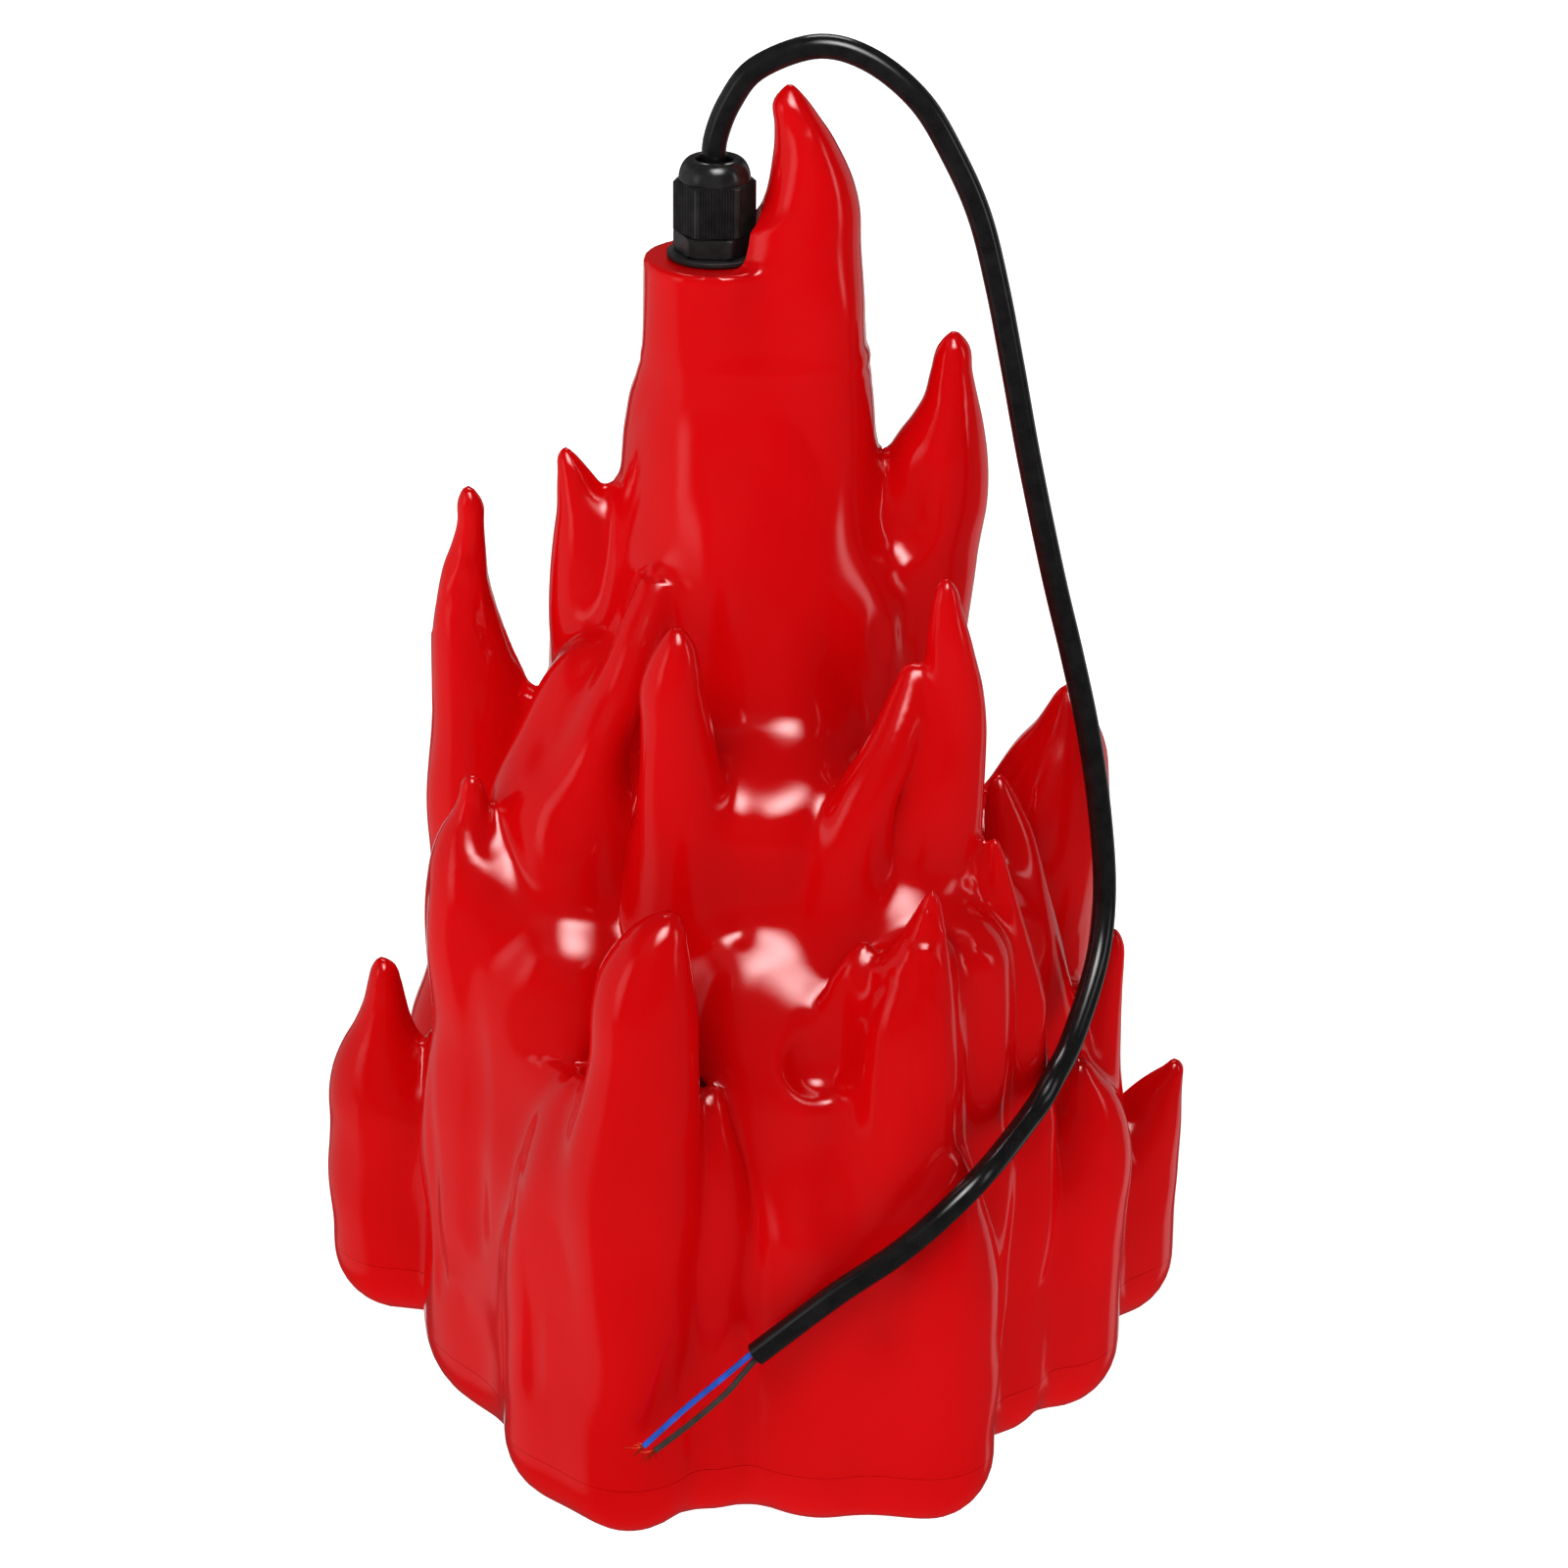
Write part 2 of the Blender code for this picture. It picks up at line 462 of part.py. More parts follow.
def turned_bmesh(bm, profile, x=0.0, y=0.0, segments=24):
    """Spin a closed (radius, height) profile about an upright axis at x, y."""
    on_axis = [r < 1e-7 for r, _ in profile]
    verts = [bm.verts.new((r, 0.0, z)) for r, z in profile]
    count = len(profile)
    edges = [
        bm.edges.new((verts[i], verts[(i + 1) % count]))
        for i in range(count)
        if not (on_axis[i] and on_axis[(i + 1) % count])
    ]
    bmesh.ops.spin(
        bm, geom=verts + edges, cent=(0, 0, 0), axis=(0, 0, 1), angle=2 * math.pi, steps=segments,
        use_merge=True,
    )
    new = [v for v in bm.verts if not v.tag]
    bmesh.ops.remove_doubles(bm, verts=new, dist=1e-6)
    new = [v for v in bm.verts if not v.tag]
    bmesh.ops.translate(bm, verts=new, vec=(x, y, 0.0))
    for vert in bm.verts:
        vert.tag = True


def turned(name, profiles, material=None, segments=24):
    """One object made of turned profiles: each entry is (profile, x, y)."""
    bm = bmesh.new()
    for profile, x, y in profiles:
        turned_bmesh(bm, profile, x, y, segments)
    obj = add_bmesh(name, bm, material)
    shade_round(obj)
    return obj


def prism(name, outline, low, high, material=None):
    """An upright prism from a list of (x, y) corners."""
    bm = bmesh.new()
    face = bm.faces.new([bm.verts.new((x, y, low)) for x, y in outline])
    top = bmesh.ops.extrude_face_region(bm, geom=[face])["geom"]
    moved = [g for g in top if isinstance(g, bmesh.types.BMVert)]
    bmesh.ops.translate(bm, verts=moved, vec=(0, 0, high - low))
    return add_bmesh(name, bm, material)


def hexagon(across_flats, x=0.0, y=0.0, turn=0.0):
    """Corners of a hexagon with a flat face towards -Y, turned by some degrees."""
    radius = across_flats / math.sqrt(3)
    angles = [math.radians(60 * k + turn) for k in range(6)]
    return [(x + radius * math.cos(a), y + radius * math.sin(a)) for a in angles]


def box(name, centre, size, material=None, edge=0.0):
    """A box, with its edges bevelled where an edge size is given."""
    bm = bmesh.new()
    bmesh.ops.create_cube(bm, size=1.0)
    bmesh.ops.scale(bm, vec=size, verts=bm.verts)
    bmesh.ops.translate(bm, vec=centre, verts=bm.verts)
    if edge:
        bmesh.ops.bevel(bm, geom=list(bm.edges), offset=edge, segments=1, affect="EDGES")
    return add_bmesh(name, bm, material)


def smooth_route(points, step):
    """Points at about even steps along a smooth curve through the given points."""
    path = [Vector(p) for p in points]
    padded = [2 * path[0] - path[1]] + path + [2 * path[-1] - path[-2]]
    dense = []
    for a, b, c, d in zip(padded, padded[1:], padded[2:], padded[3:]):
        for k in range(24):
            t = k / 24
            bend = (2 * a - 5 * b + 4 * c - d) * t**2 + (3 * b - a - 3 * c + d) * t**3
            dense.append(0.5 * (2 * b + (c - a) * t + bend))
    dense.append(path[-1])
    lengths = [0.0]
    for a, b in zip(dense, dense[1:]):
        lengths.append(lengths[-1] + (b - a).length)
    count = max(2, round(lengths[-1] / step))
    even = []
    for k in range(count + 1):
        target = lengths[-1] * k / count
        i = next(i for i in range(1, len(dense)) if lengths[i] >= target - 1e-9)
        span = lengths[i] - lengths[i - 1]
        even.append(dense[i - 1].lerp(dense[i], (target - lengths[i - 1]) / span))
    return even


def lead(name, route, radius, material, step=LEAD_STEP, sides=2):
    """A round lead along a smooth route, as a curve object with filled ends."""
    curve = bpy.data.curves.new(name, "CURVE")
    curve.dimensions = "3D"
    curve.bevel_depth = radius
    curve.bevel_resolution = sides
    curve.use_fill_caps = True
    points = smooth_route(route, step)
    spline = curve.splines.new("POLY")
    spline.points.add(len(points) - 1)
    for point, place in zip(spline.points, points):
        point.co = (*place, 1.0)
    return add_object(name, curve, material)


# The flame as a field: negative inside, zero on the surface, about one metre per metre outside


def blend(a, b, width):
    """The lower of two fields, with a rounded valley where they meet."""
    share = np.clip(0.5 + 0.5 * (b - a) / width, 0, 1)
    return b + (a - b) * share - width * share * (1 - share)


def along_tongue(rows):
    """A tongue's centre, radius and slant at even heights, on a smooth curve through its rows."""
    x, y, z, radius = np.array(rows[::-1]).T
    heights = np.linspace(z[0], z[-1], 160)
    index = np.clip(np.searchsorted(z, heights, side="right") - 1, 0, len(z) - 2)
    span = z[index + 1] - z[index]
    t = (heights - z[index]) / span
    lines = []
    for values in (x, y, radius):
        slope = np.gradient(values, z)
        slope[0] = 0.0
        start, end = values[index], values[index + 1]
        rise = (1 + 2 * t) * (1 - t) ** 2 * start + t**2 * (3 - 2 * t) * end
        lines.append(rise + t * (1 - t) * span * ((1 - t) * slope[index] - t * slope[index + 1]))
    slant = np.abs(np.gradient(lines[2], heights)) + 0.5 * np.abs(np.gradient(lines[0], heights))
    return heights, *lines, np.minimum(slant, 2.0)


def tongue_field(x, y, z, line):
    """Distance to a tongue, whose line comes from along_tongue."""
    heights, centre_x, centre_y, radii, slants = line
    below_tip = heights[-1] - z
    body = np.interp(z, heights, radii) + DRAFT * np.maximum(heights[0] - z, 0)
    nose = TIP_RADIUS**2 * (1 - np.exp(-np.maximum(below_tip, 0) / TIP_RADIUS))
    radius = np.sqrt(nose + body**2)
    slope = np.interp(z, heights, slants) + DRAFT
    away = np.hypot(x - np.interp(z, heights, centre_x), y - np.interp(z, heights, centre_y))
    return np.where(below_tip < 0, np.hypot(away, below_tip), (away - radius) / np.sqrt(1 + slope**2))


def swell_field(x, y, z, swell):
    """Distance to an upright round swelling with a domed top."""
    centre_x, centre_y, radius, top, dome = swell
    above = np.maximum(z - (top - dome), 0) * radius / dome
    away = np.hypot(np.hypot(x - centre_x, y - centre_y), above)
    return away - radius - DRAFT * np.maximum(top - dome - z, 0)


def scoop_field(x, y, z, scoop):
    """Distance to an upright round hollow with a bowl at its bottom."""
    centre_x, centre_y, bottom, radius, bowl = scoop
    below = np.maximum(bottom + bowl - z, 0) * radius / bowl
    return np.hypot(np.hypot(x - centre_x, y - centre_y), below) - radius


def core_field(x, y, z):
    """Distance to the round core."""
    heights, radii = zip(*CORE)
    radius = np.interp(z, heights, radii)
    slope = (np.interp(z + 0.001, heights, radii) - np.interp(z - 0.001, heights, radii)) / 0.002
    return np.maximum((np.hypot(x, y) - radius) / np.sqrt(1 + slope**2), z - heights[-1])


def neck_field(x, y, z):
    """Distance to the flat-topped neck, in real sizes."""
    radius = NECK_RADIUS + NECK_DRAFT * np.maximum(NECK_TOP - z, 0) - NECK_EDGE
    out = np.hypot(x - NECK_X, y - NECK_Y) - radius
    up = z - NECK_TOP + NECK_EDGE
    return np.minimum(np.maximum(out, up), 0) + np.hypot(np.maximum(out, 0), np.maximum(up, 0)) - NECK_EDGE


LINES = {name: along_tongue(rows) for name, rows in TONGUES.items()}


def flame_field(x, y, z):
    """The whole flame, at real x, y, z. The drawn shapes are stretched to the overall sizes."""
    wide, high = FLAME_WIDTH / DRAWN_WIDTH, FLAME_HEIGHT / DRAWN_HEIGHT
    dx, dy, dz = x / wide, y / wide, z / high
    field = core_field(dx, dy, dz)
    reach = 0.026

    def join(near, value, width):
        field[near] = blend(field[near], value, width)

    for swell in SWELLS.values():
        near = (np.hypot(dx - swell[0], dy - swell[1]) < swell[2] + reach) & (dz < swell[3] + reach)
        if near.any():
            join(near, swell_field(dx[near], dy[near], dz[near], swell), SWELL_BLEND)
    for name, rows in TONGUES.items():
        tip, foot = rows[0], rows[-1]
        lean = math.hypot(tip[0] - foot[0], tip[1] - foot[1])
        near = (np.hypot(dx - foot[0], dy - foot[1]) < foot[3] + lean + reach) & (dz < tip[2] + reach)
        if not near.any():
            continue
        up = np.clip((dz[near] - foot[2]) / (tip[2] - foot[2]), 0, 1)
        width = VALLEYS.get(name, FOOT_BLEND + (TIP_BLEND - FOOT_BLEND) * up)
        join(near, tongue_field(dx[near], dy[near], dz[near], LINES[name]), width)
    for scoop in SCOOPS.values():
        near = (np.hypot(dx - scoop[0], dy - scoop[1]) < scoop[3] + reach) & (dz > scoop[2] - reach)
        if near.any():
            hollow = scoop_field(dx[near], dy[near], dz[near], scoop)
            field[near] = -blend(-field[near], hollow, SCOOP_BLEND)
    field *= min(wide, high)
    near = (np.hypot(x - NECK_X, y - NECK_Y) < 2 * NECK_RADIUS) & (z > NECK_TOP - 4.5 * NECK_RADIUS)
    if near.any():
        up = np.clip((z[near] - NECK_TOP) / NECK_RADIUS + 1.08, 0, 1)
        width = NECK_BLEND + (NECK_TOP_BLEND - NECK_BLEND) * up * up * (3 - 2 * up)
        join(near, neck_field(x[near], y[near], z[near]), width)
    return field


def flame_at(points):
    """The field at an array of points."""
    return flame_field(points[:, 0].copy(), points[:, 1].copy(), points[:, 2].copy())


def settle(points, low):
    """Move the vertices above a height exactly onto the flame's surface."""
    probe = 0.0002
    sides = probe * np.eye(3)
    moving = points[:, 2] > low
    for _ in range(2):
        value = flame_at(points)
        slopes = [(flame_at(points + side) - flame_at(points - side)) / (2 * probe) for side in sides]
        slope = np.stack(slopes, -1)
        step = value[:, None] * slope / np.maximum((slope**2).sum(1, keepdims=True), 0.05)
        points = points - np.clip(step, -SAMPLE_STEP, SAMPLE_STEP) * moving[:, None]
    return points


def flame_points(step, low):
    """Points and quads of the closed flame surface, from a height up."""
    half = FLAME_WIDTH / 2 + 4 * step
    count = int(math.ceil(half / step))
    across = np.arange(-count, count + 1) * step
    floor = int(math.floor(low / step)) - 2
    top = int(math.ceil(FLAME_HEIGHT / step)) + 4
    up = np.arange(floor, top + 1) * step
    x, y, z = np.meshgrid(across, across, up, indexing="ij")
    values = flame_field(x.ravel(), y.ravel(), z.ravel()).reshape(x.shape)
    values = np.maximum(values, low - z)
    grid = openvdb.FloatGrid(1.0)
    grid.copyFromArray(values.astype(np.float32), ijk=(-count, -count, floor))
    grid.transform = openvdb.createLinearTransform(voxelSize=step)
    points, triangles, quads = grid.convertToPolygons(isovalue=0.0, adaptivity=0.0)
    points = settle(points.astype(float), low + step)
    return points, triangles, quads


def flame_inside(step, low, inset):
    """Points and quads of the surface a wall's thickness inside the flame."""
    points, triangles, quads = flame_points(step, low)
    band = inset / step + 3
    level = openvdb.FloatGrid.createLevelSetFromPolygons(
        points.astype(np.float32),
        triangles=triangles,
        quads=quads,
        transform=openvdb.createLinearTransform(voxelSize=step),
        halfWidth=band,
    )
    return level.convertToPolygons(isovalue=-inset, adaptivity=0.0)


def reduced(obj, triangles):
    """Bring a fine surface down to about this many triangles."""
    now = sum(len(p.vertices) - 2 for p in obj.data.polygons)
    modifier = obj.modifiers.new("reduce", "DECIMATE")
    modifier.ratio = min(1.0, triangles / now)
    modifier.use_collapse_triangulate = True
    return obj


def surface_object(name, surface, material=None):
    """An object from openvdb points, triangles and quads: its largest closed piece."""
    points, triangles, quads = surface
    obj = add_mesh(name, points.tolist(), triangles.tolist() + quads.tolist(), material)
    bm = bmesh.new()
    bm.from_mesh(obj.data)
    seen, groups = set(), []
    for start in bm.verts:
        if start in seen:
            continue
        stack, group = [start], []
        seen.add(start)
        while stack:
            vert = stack.pop()
            group.append(vert)
            for edge in vert.link_edges:
                other = edge.other_vert(vert)
                if other not in seen:
                    seen.add(other)
                    stack.append(other)
        groups.append(group)
    groups.sort(key=len)
    bmesh.ops.delete(bm, geom=[v for group in groups[:-1] for v in group], context="VERTS")
    bm.to_mesh(obj.data)
    bm.free()
    return obj


# The outline of the flame at the parting line, and lines parallel to it


def crossing(radii, values):
    """For each bearing, the outermost radius where the value passes zero."""
    inside = values < 0
    last = values.shape[1] - 1 - np.argmax(inside[:, ::-1], axis=1)
    last = np.clip(last, 0, values.shape[1] - 2)
    rows = np.arange(len(values))
    a, b = values[rows, last], values[rows, last + 1]
    return radii[last] + (radii[last + 1] - radii[last]) * a / (a - b)


def parting_outline():
    """Points around the flame at the parting height, closer together where the outline turns."""
    bearings = np.linspace(-math.pi, math.pi, 721)[:-1]
    radii = np.linspace(0.04, 0.6 * FLAME_WIDTH, 260)
    b, r = np.meshgrid(bearings, radii, indexing="ij")
    flat = np.full(r.size, PARTING_HEIGHT)
    values = flame_field((r * np.cos(b)).ravel(), (r * np.sin(b)).ravel(), flat).reshape(r.shape)
    edge = crossing(radii, values)
    fine = np.stack([edge * np.cos(bearings), edge * np.sin(bearings)], -1)
    loops = [fine, inset_outline(fine, LIP_INSET), inset_outline(fine, BASE_ROUNDING)]
    quarters = range(0, len(fine) + 1, len(fine) // 4)
    kept = [i for first, last in zip(quarters, quarters[1:]) for i in turning_points(loops, first, last)]
    return fine[kept]


def turning_points(loops, first, last):
    """Which points to keep from first up to last, so that straight lines stay true to every loop."""
    if last - first < 2:
        return [first]
    between = np.arange(first + 1, last)
    off = np.zeros(len(between))
    for loop in loops:
        start, side = loop[first], loop[last % len(loop)] - loop[first]
        away = loop[between] - start
        share = np.clip((away @ side) / (side @ side), 0, 1)
        off = np.maximum(off, np.linalg.norm(away - share[:, None] * side, axis=1))
    if off.max() < OUTLINE_ACCURACY:
        return [first]
    middle = between[int(off.argmax())]
    return turning_points(loops, first, middle) + turning_points(loops, middle, last)


def distance_to_loop(points, loop):
    """Distance of each point from a closed loop."""
    start, end = loop, np.roll(loop, -1, axis=0)
    side = end - start
    to_point = points[:, None, :] - start[None]
    share = np.clip((to_point * side).sum(-1) / (side**2).sum(-1), 0, 1)
    return np.linalg.norm(to_point - share[..., None] * side, axis=-1).min(1)


def inset_outline(loop, inset):
    """The loop moved inwards by a distance, point for point on the same bearings."""
    if inset <= 0:
        return loop
    bearings = np.arctan2(loop[:, 1], loop[:, 0])
    edge = np.hypot(loop[:, 0], loop[:, 1])
    shares = np.linspace(0.3, 1.0, 160)
    r = edge[:, None] * shares
    points = np.stack([r * np.cos(bearings)[:, None], r * np.sin(bearings)[:, None]], -1)
    gaps = distance_to_loop(points.reshape(-1, 2), loop).reshape(r.shape)
    share = crossing(shares, inset - gaps)
    return loop * share[:, None]


def lofted(name, loop, sections, material=None):
    """A closed solid through parallel outlines: each section is (inset, height), bottom to top."""
    bm = bmesh.new()
    rings = []
    for inset, height in sections:
        rings.append([bm.verts.new((x, y, height)) for x, y in inset_outline(loop, inset)])
    count = len(loop)
    for lower, upper in zip(rings, rings[1:]):
        for i in range(count):
            j = (i + 1) % count
            bm.faces.new((lower[i], lower[j], upper[j], upper[i]))
    bm.faces.new(rings[0][::-1])
    bm.faces.new(rings[-1])
    return add_bmesh(name, bm, material)


def ring_between(name, loop, outer, inner, low, high, material):
    """A flat-sided ring between two insets of the outline."""
    bm = bmesh.new()
    corners = ((outer, low), (outer, high), (inner, high), (inner, low))
    rings = [[bm.verts.new((x, y, h)) for x, y in inset_outline(loop, inset)] for inset, h in corners]
    count = len(loop)
    for k in range(4):
        for i in range(count):
            j = (i + 1) % count
            bm.faces.new((rings[k][i], rings[k][j], rings[(k + 1) % 4][j], rings[(k + 1) % 4][i]))
    return add_bmesh(name, bm, material)


def at_bearing(degrees, radius):
    """A point at a bearing and a radius."""
    angle = math.radians(degrees)
    return radius * math.cos(angle), radius * math.sin(angle)


def screw_places(loop):
    """Where the tray screws stand: a set distance inside the outline on each bearing."""
    places = []
    for degrees in SCREW_BEARINGS:
        angles = np.degrees(np.arctan2(loop[:, 1], loop[:, 0]))
        order = np.argsort(angles)
        edge = np.interp(degrees, angles[order], np.hypot(loop[:, 0], loop[:, 1])[order], period=360)
        places.append(at_bearing(degrees, edge - SCREW_INSET))
    return places


def cylinder_profile(radius, low, high):
    """The profile of a plain cylinder."""
    return [(0.0, high), (radius, high), (radius, low), (0.0, low)]


def screw_set(name, places, radius, grip, head_radius, head_height):
    """Screws that share one mesh. Each place is where the head's seat is; the shank runs down."""
    profile = [
        (0.0, head_height), (0.7 * head_radius, head_height), (head_radius, 0.5 * head_height),
        (head_radius, 0.0), (radius, 0.0), (radius, radius - grip), (0.6 * radius, -grip), (0.0, -grip),
    ]
    first = turned(f"{name}_1", [(profile, 0, 0)], "steel", segments=8)
    screws = [first] + [add_object(f"{name}_{k}", first.data) for k in range(2, len(places) + 1)]
    for screw, place in zip(screws, places):
        screw.location = place
    return screws


# Heights that several pieces share
LIP_TOP = PARTING_HEIGHT + LIP_HEIGHT
SEAL_INSET = LIP_INSET - GAP - SEAL_WIDTH
PILLAR_LOW = LIP_TOP + GAP
PILOT_RADIUS = TRAY_SCREW_RADIUS + GAP
SMALL_PILOT = SMALL_SCREW_RADIUS + GAP
SCREW_SEAT = COUNTERBORE_DEPTH - GAP
CARRIER_LOW = CARRIER_STANDOFF + GAP
CARRIER_TUBE_LOW = CARRIER_LOW + CARRIER_FOOT_HEIGHT
CARRIER_CORNER = CARRIER_ACROSS_FLATS / math.sqrt(3)
WASHER_LOW = NECK_TOP + GAP
FLANGE_LOW = WASHER_LOW + WASHER_THICKNESS + GAP
FLANGE_TOP = FLANGE_LOW + FLANGE_HEIGHT
CAP_LOW = FLANGE_TOP + GAP
CAP_SHOULDER = CAP_LOW + CAP_HEX_HEIGHT
CAP_TOP = CAP_SHOULDER + CAP_DOME_HEIGHT
SPIGOT_TOP = FLANGE_TOP + SPIGOT_HEIGHT
BUSH_LOW = FLANGE_LOW + BUSH_SEAT + GAP
COLLAR_LOW = SPIGOT_TOP + GAP
FINGER_LOW = COLLAR_LOW + CLAW_COLLAR_HEIGHT
FINGER_TOP = FINGER_LOW + CLAW_FINGER_HEIGHT
NUT_TOP = NECK_TOP - WALL - GAP
NUT_LOW = NUT_TOP - LOCKNUT_HEIGHT
THREAD_LOW = NUT_LOW - 0.35 * THREAD_LENGTH
HOLE_RADIUS = THREAD_RADIUS + GAP
SHEATH_SPLIT = FLANGE_TOP + 0.5 * SPIGOT_HEIGHT


def seat_profile():
    """What is cut round the gland: room above the neck, the hole, and a flat seat for the nut."""
    room = WASHER_RADIUS + SEAT_CLEARANCE
    below = LOCKNUT_CORNER_RADIUS + 2 * SEAT_CLEARANCE
    top = CAP_TOP + CAP_LIFT_ROOM
    low = NUT_LOW - THREAD_LENGTH
    return [
        (0.0, top), (room, top), (room, NECK_TOP), (HOLE_RADIUS, NECK_TOP),
        (HOLE_RADIUS, NECK_TOP - WALL), (below, NECK_TOP - WALL), (below, low), (0.0, low),
    ]


def build_flame_shell(loop):
    """The hollow flame: outer surface, less its inside, the gland's seat and the screw holes."""
    low = PARTING_HEIGHT - 4 * SAMPLE_STEP
    places = screw_places(loop)
    shell = surface_object("flame_shell", flame_points(SAMPLE_STEP, low), "flame_red")
    reduced(shell, SHELL_TRIANGLES)
    cavity = surface_object("cavity_cutter", flame_inside(SAMPLE_STEP, low, WALL))
    reduced(as_cutter(cavity), CAVITY_TRIANGLES)

    pillar_top = PILLAR_LOW + PILLAR_HEIGHT
    keep = [(cylinder_profile(PILLAR_RADIUS, PILLAR_LOW, pillar_top), x, y) for x, y in places]
    above_nut = cylinder_profile(0.75 * NECK_RADIUS, NECK_TOP - WALL, NECK_TOP + 2 * WALL)
    keep.append((above_nut, NECK_X, NECK_Y))
    boolean(cavity, as_cutter(turned("pillar_keeper", keep, segments=10)), "DIFFERENCE")
    ribs = bmesh.new()
    for (x, y), degrees in zip(places, SCREW_BEARINGS):
        made = bmesh.ops.create_cube(ribs, size=1.0)["verts"]
        bmesh.ops.scale(ribs, vec=(SCREW_INSET, PILLAR_RIB, PILLAR_HEIGHT - GAP), verts=made)
        bmesh.ops.translate(ribs, vec=(SCREW_INSET / 2, 0, PILLAR_LOW + PILLAR_HEIGHT / 2), verts=made)
        turn = Matrix.Rotation(math.radians(degrees), 4, "Z")
        bmesh.ops.transform(ribs, matrix=Matrix.Translation((x, y, 0)) @ turn, verts=made)
    boolean(cavity, as_cutter(add_bmesh("rib_keeper", ribs)), "DIFFERENCE")

    boolean(shell, cavity, "DIFFERENCE")
    joint = [(SEAL_INSET - GAP, PARTING_HEIGHT - WALL), (SEAL_INSET - GAP, PILLAR_LOW)]
    boolean(shell, as_cutter(lofted("joint_cutter", loop, joint)), "DIFFERENCE")
    seat = as_cutter(turned("seat_cutter", [(seat_profile(), NECK_X, NECK_Y)], segments=24))
    boolean(shell, seat, "DIFFERENCE")
    pilot = cylinder_profile(PILOT_RADIUS, PARTING_HEIGHT, PILLAR_LOW + TRAY_SCREW_GRIP + WALL)
    pilots = as_cutter(turned("pilot_cutter", [(pilot, x, y) for x, y in places], segments=8))
    boolean(shell, pilots, "DIFFERENCE")
    below, wide = PARTING_HEIGHT + GAP, 2 * FLAME_WIDTH
    ground = box("ground_cutter", (0, 0, below - PARTING_HEIGHT), (wide, wide, 2 * PARTING_HEIGHT))
    boolean(shell, as_cutter(ground), "DIFFERENCE")
    shade_round(shell, 50)
    return shell


def arc_sections(centre_inset, centre_height, radius, steps):
    """Sections of a quarter-round edge, from the flat bottom up to the upright wall."""
    rows = []
    for k in range(steps + 1):
        angle = math.pi / 2 * k / steps
        rows.append((centre_inset - radius * math.sin(angle), centre_height - radius * math.cos(angle)))
    return rows


def build_base_tray(loop):
    """The tray that closes the flame: rounded floor, upright lip, screw bosses and standoffs."""
    outer = arc_sections(BASE_ROUNDING, BASE_ROUNDING, BASE_ROUNDING, 4)
    outer[-1] = (0.0, BASE_ROUNDING)
    outer += [(0.0, PARTING_HEIGHT), (LIP_INSET, PARTING_HEIGHT), (LIP_INSET, LIP_TOP)]
    tray = lofted("base_tray", loop, outer, "flame_red")
    inner = arc_sections(BASE_ROUNDING, BASE_ROUNDING, BASE_ROUNDING - TRAY_WALL, 2)
    inner[-1] = (TRAY_WALL, 0.7 * PARTING_HEIGHT)
    lip_inner = LIP_INSET + LIP_THICKNESS
    inner += [(lip_inner, 0.9 * PARTING_HEIGHT), (lip_inner, LIP_TOP + CUT_ROOM)]
    hollow = as_cutter(lofted("tray_hollow_cutter", loop, inner))

    boss = cylinder_profile(PILLAR_RADIUS, 0.0, LIP_TOP + 2 * CUT_ROOM)
    bosses = [(boss, x, y) for x, y in screw_places(loop)]
    for degrees in CARRIER_SCREW_BEARINGS:
        x, y = at_bearing(degrees, CARRIER_SCREW_CIRCLE)
        bosses.append((cylinder_profile(STANDOFF_RADIUS, 0.0, CARRIER_STANDOFF), x, y))
    for x, y in driver_lugs():
        bosses.append((cylinder_profile(STANDOFF_RADIUS, 0.0, TRAY_WALL + DRIVER_STANDOFF), x, y))
    boolean(hollow, as_cutter(turned("boss_keeper", bosses, segments=12)), "DIFFERENCE")
    boolean(tray, hollow, "DIFFERENCE")

    bore, sink = PILOT_RADIUS, TRAY_SCREW_HEAD_RADIUS + GAP
    step = [(0.0, LIP_TOP + CUT_ROOM), (bore, LIP_TOP + CUT_ROOM), (bore, COUNTERBORE_DEPTH)]
    step += [(sink, COUNTERBORE_DEPTH), (sink, -CUT_ROOM), (0.0, -CUT_ROOM)]
    holes = [(step, x, y) for x, y in screw_places(loop)]
    for x, y, top in small_screw_seats():
        low = top - SMALL_SCREW_GRIP - 2 * GAP
        holes.append((cylinder_profile(SMALL_PILOT, low, top + CUT_ROOM), x, y))
    boolean(tray, as_cutter(turned("tray_hole_cutter", holes, segments=10)), "DIFFERENCE")
    shade_round(tray, 40)
    return tray


def driver_lugs():
    """Where the driver's two fixing lugs stand."""
    x, y = DRIVER_CENTRE
    reach = DRIVER_SIZE[0] / 2 + DRIVER_LUG_REACH
    return [(x - reach, y), (x + reach, y)]


def small_screw_seats():
    """The head seat of each small screw: x, y and height."""
    seats = []
    for degrees in CARRIER_SCREW_BEARINGS:
        x, y = at_bearing(degrees, CARRIER_SCREW_CIRCLE)
        seats.append((x, y, CARRIER_TUBE_LOW))
    lug_top = TRAY_WALL + DRIVER_STANDOFF + GAP + DRIVER_LUG_THICKNESS
    return seats + [(x, y, lug_top) for x, y in driver_lugs()]


def build_tray_seal(loop):
    """The soft ring in the joint, between the flame's wall and the tray's lip."""
    low = PARTING_HEIGHT + GAP
    high = low + SEAL_HEIGHT
    return ring_between("tray_seal", loop, SEAL_INSET, LIP_INSET - GAP, low, high, "black_rubber")


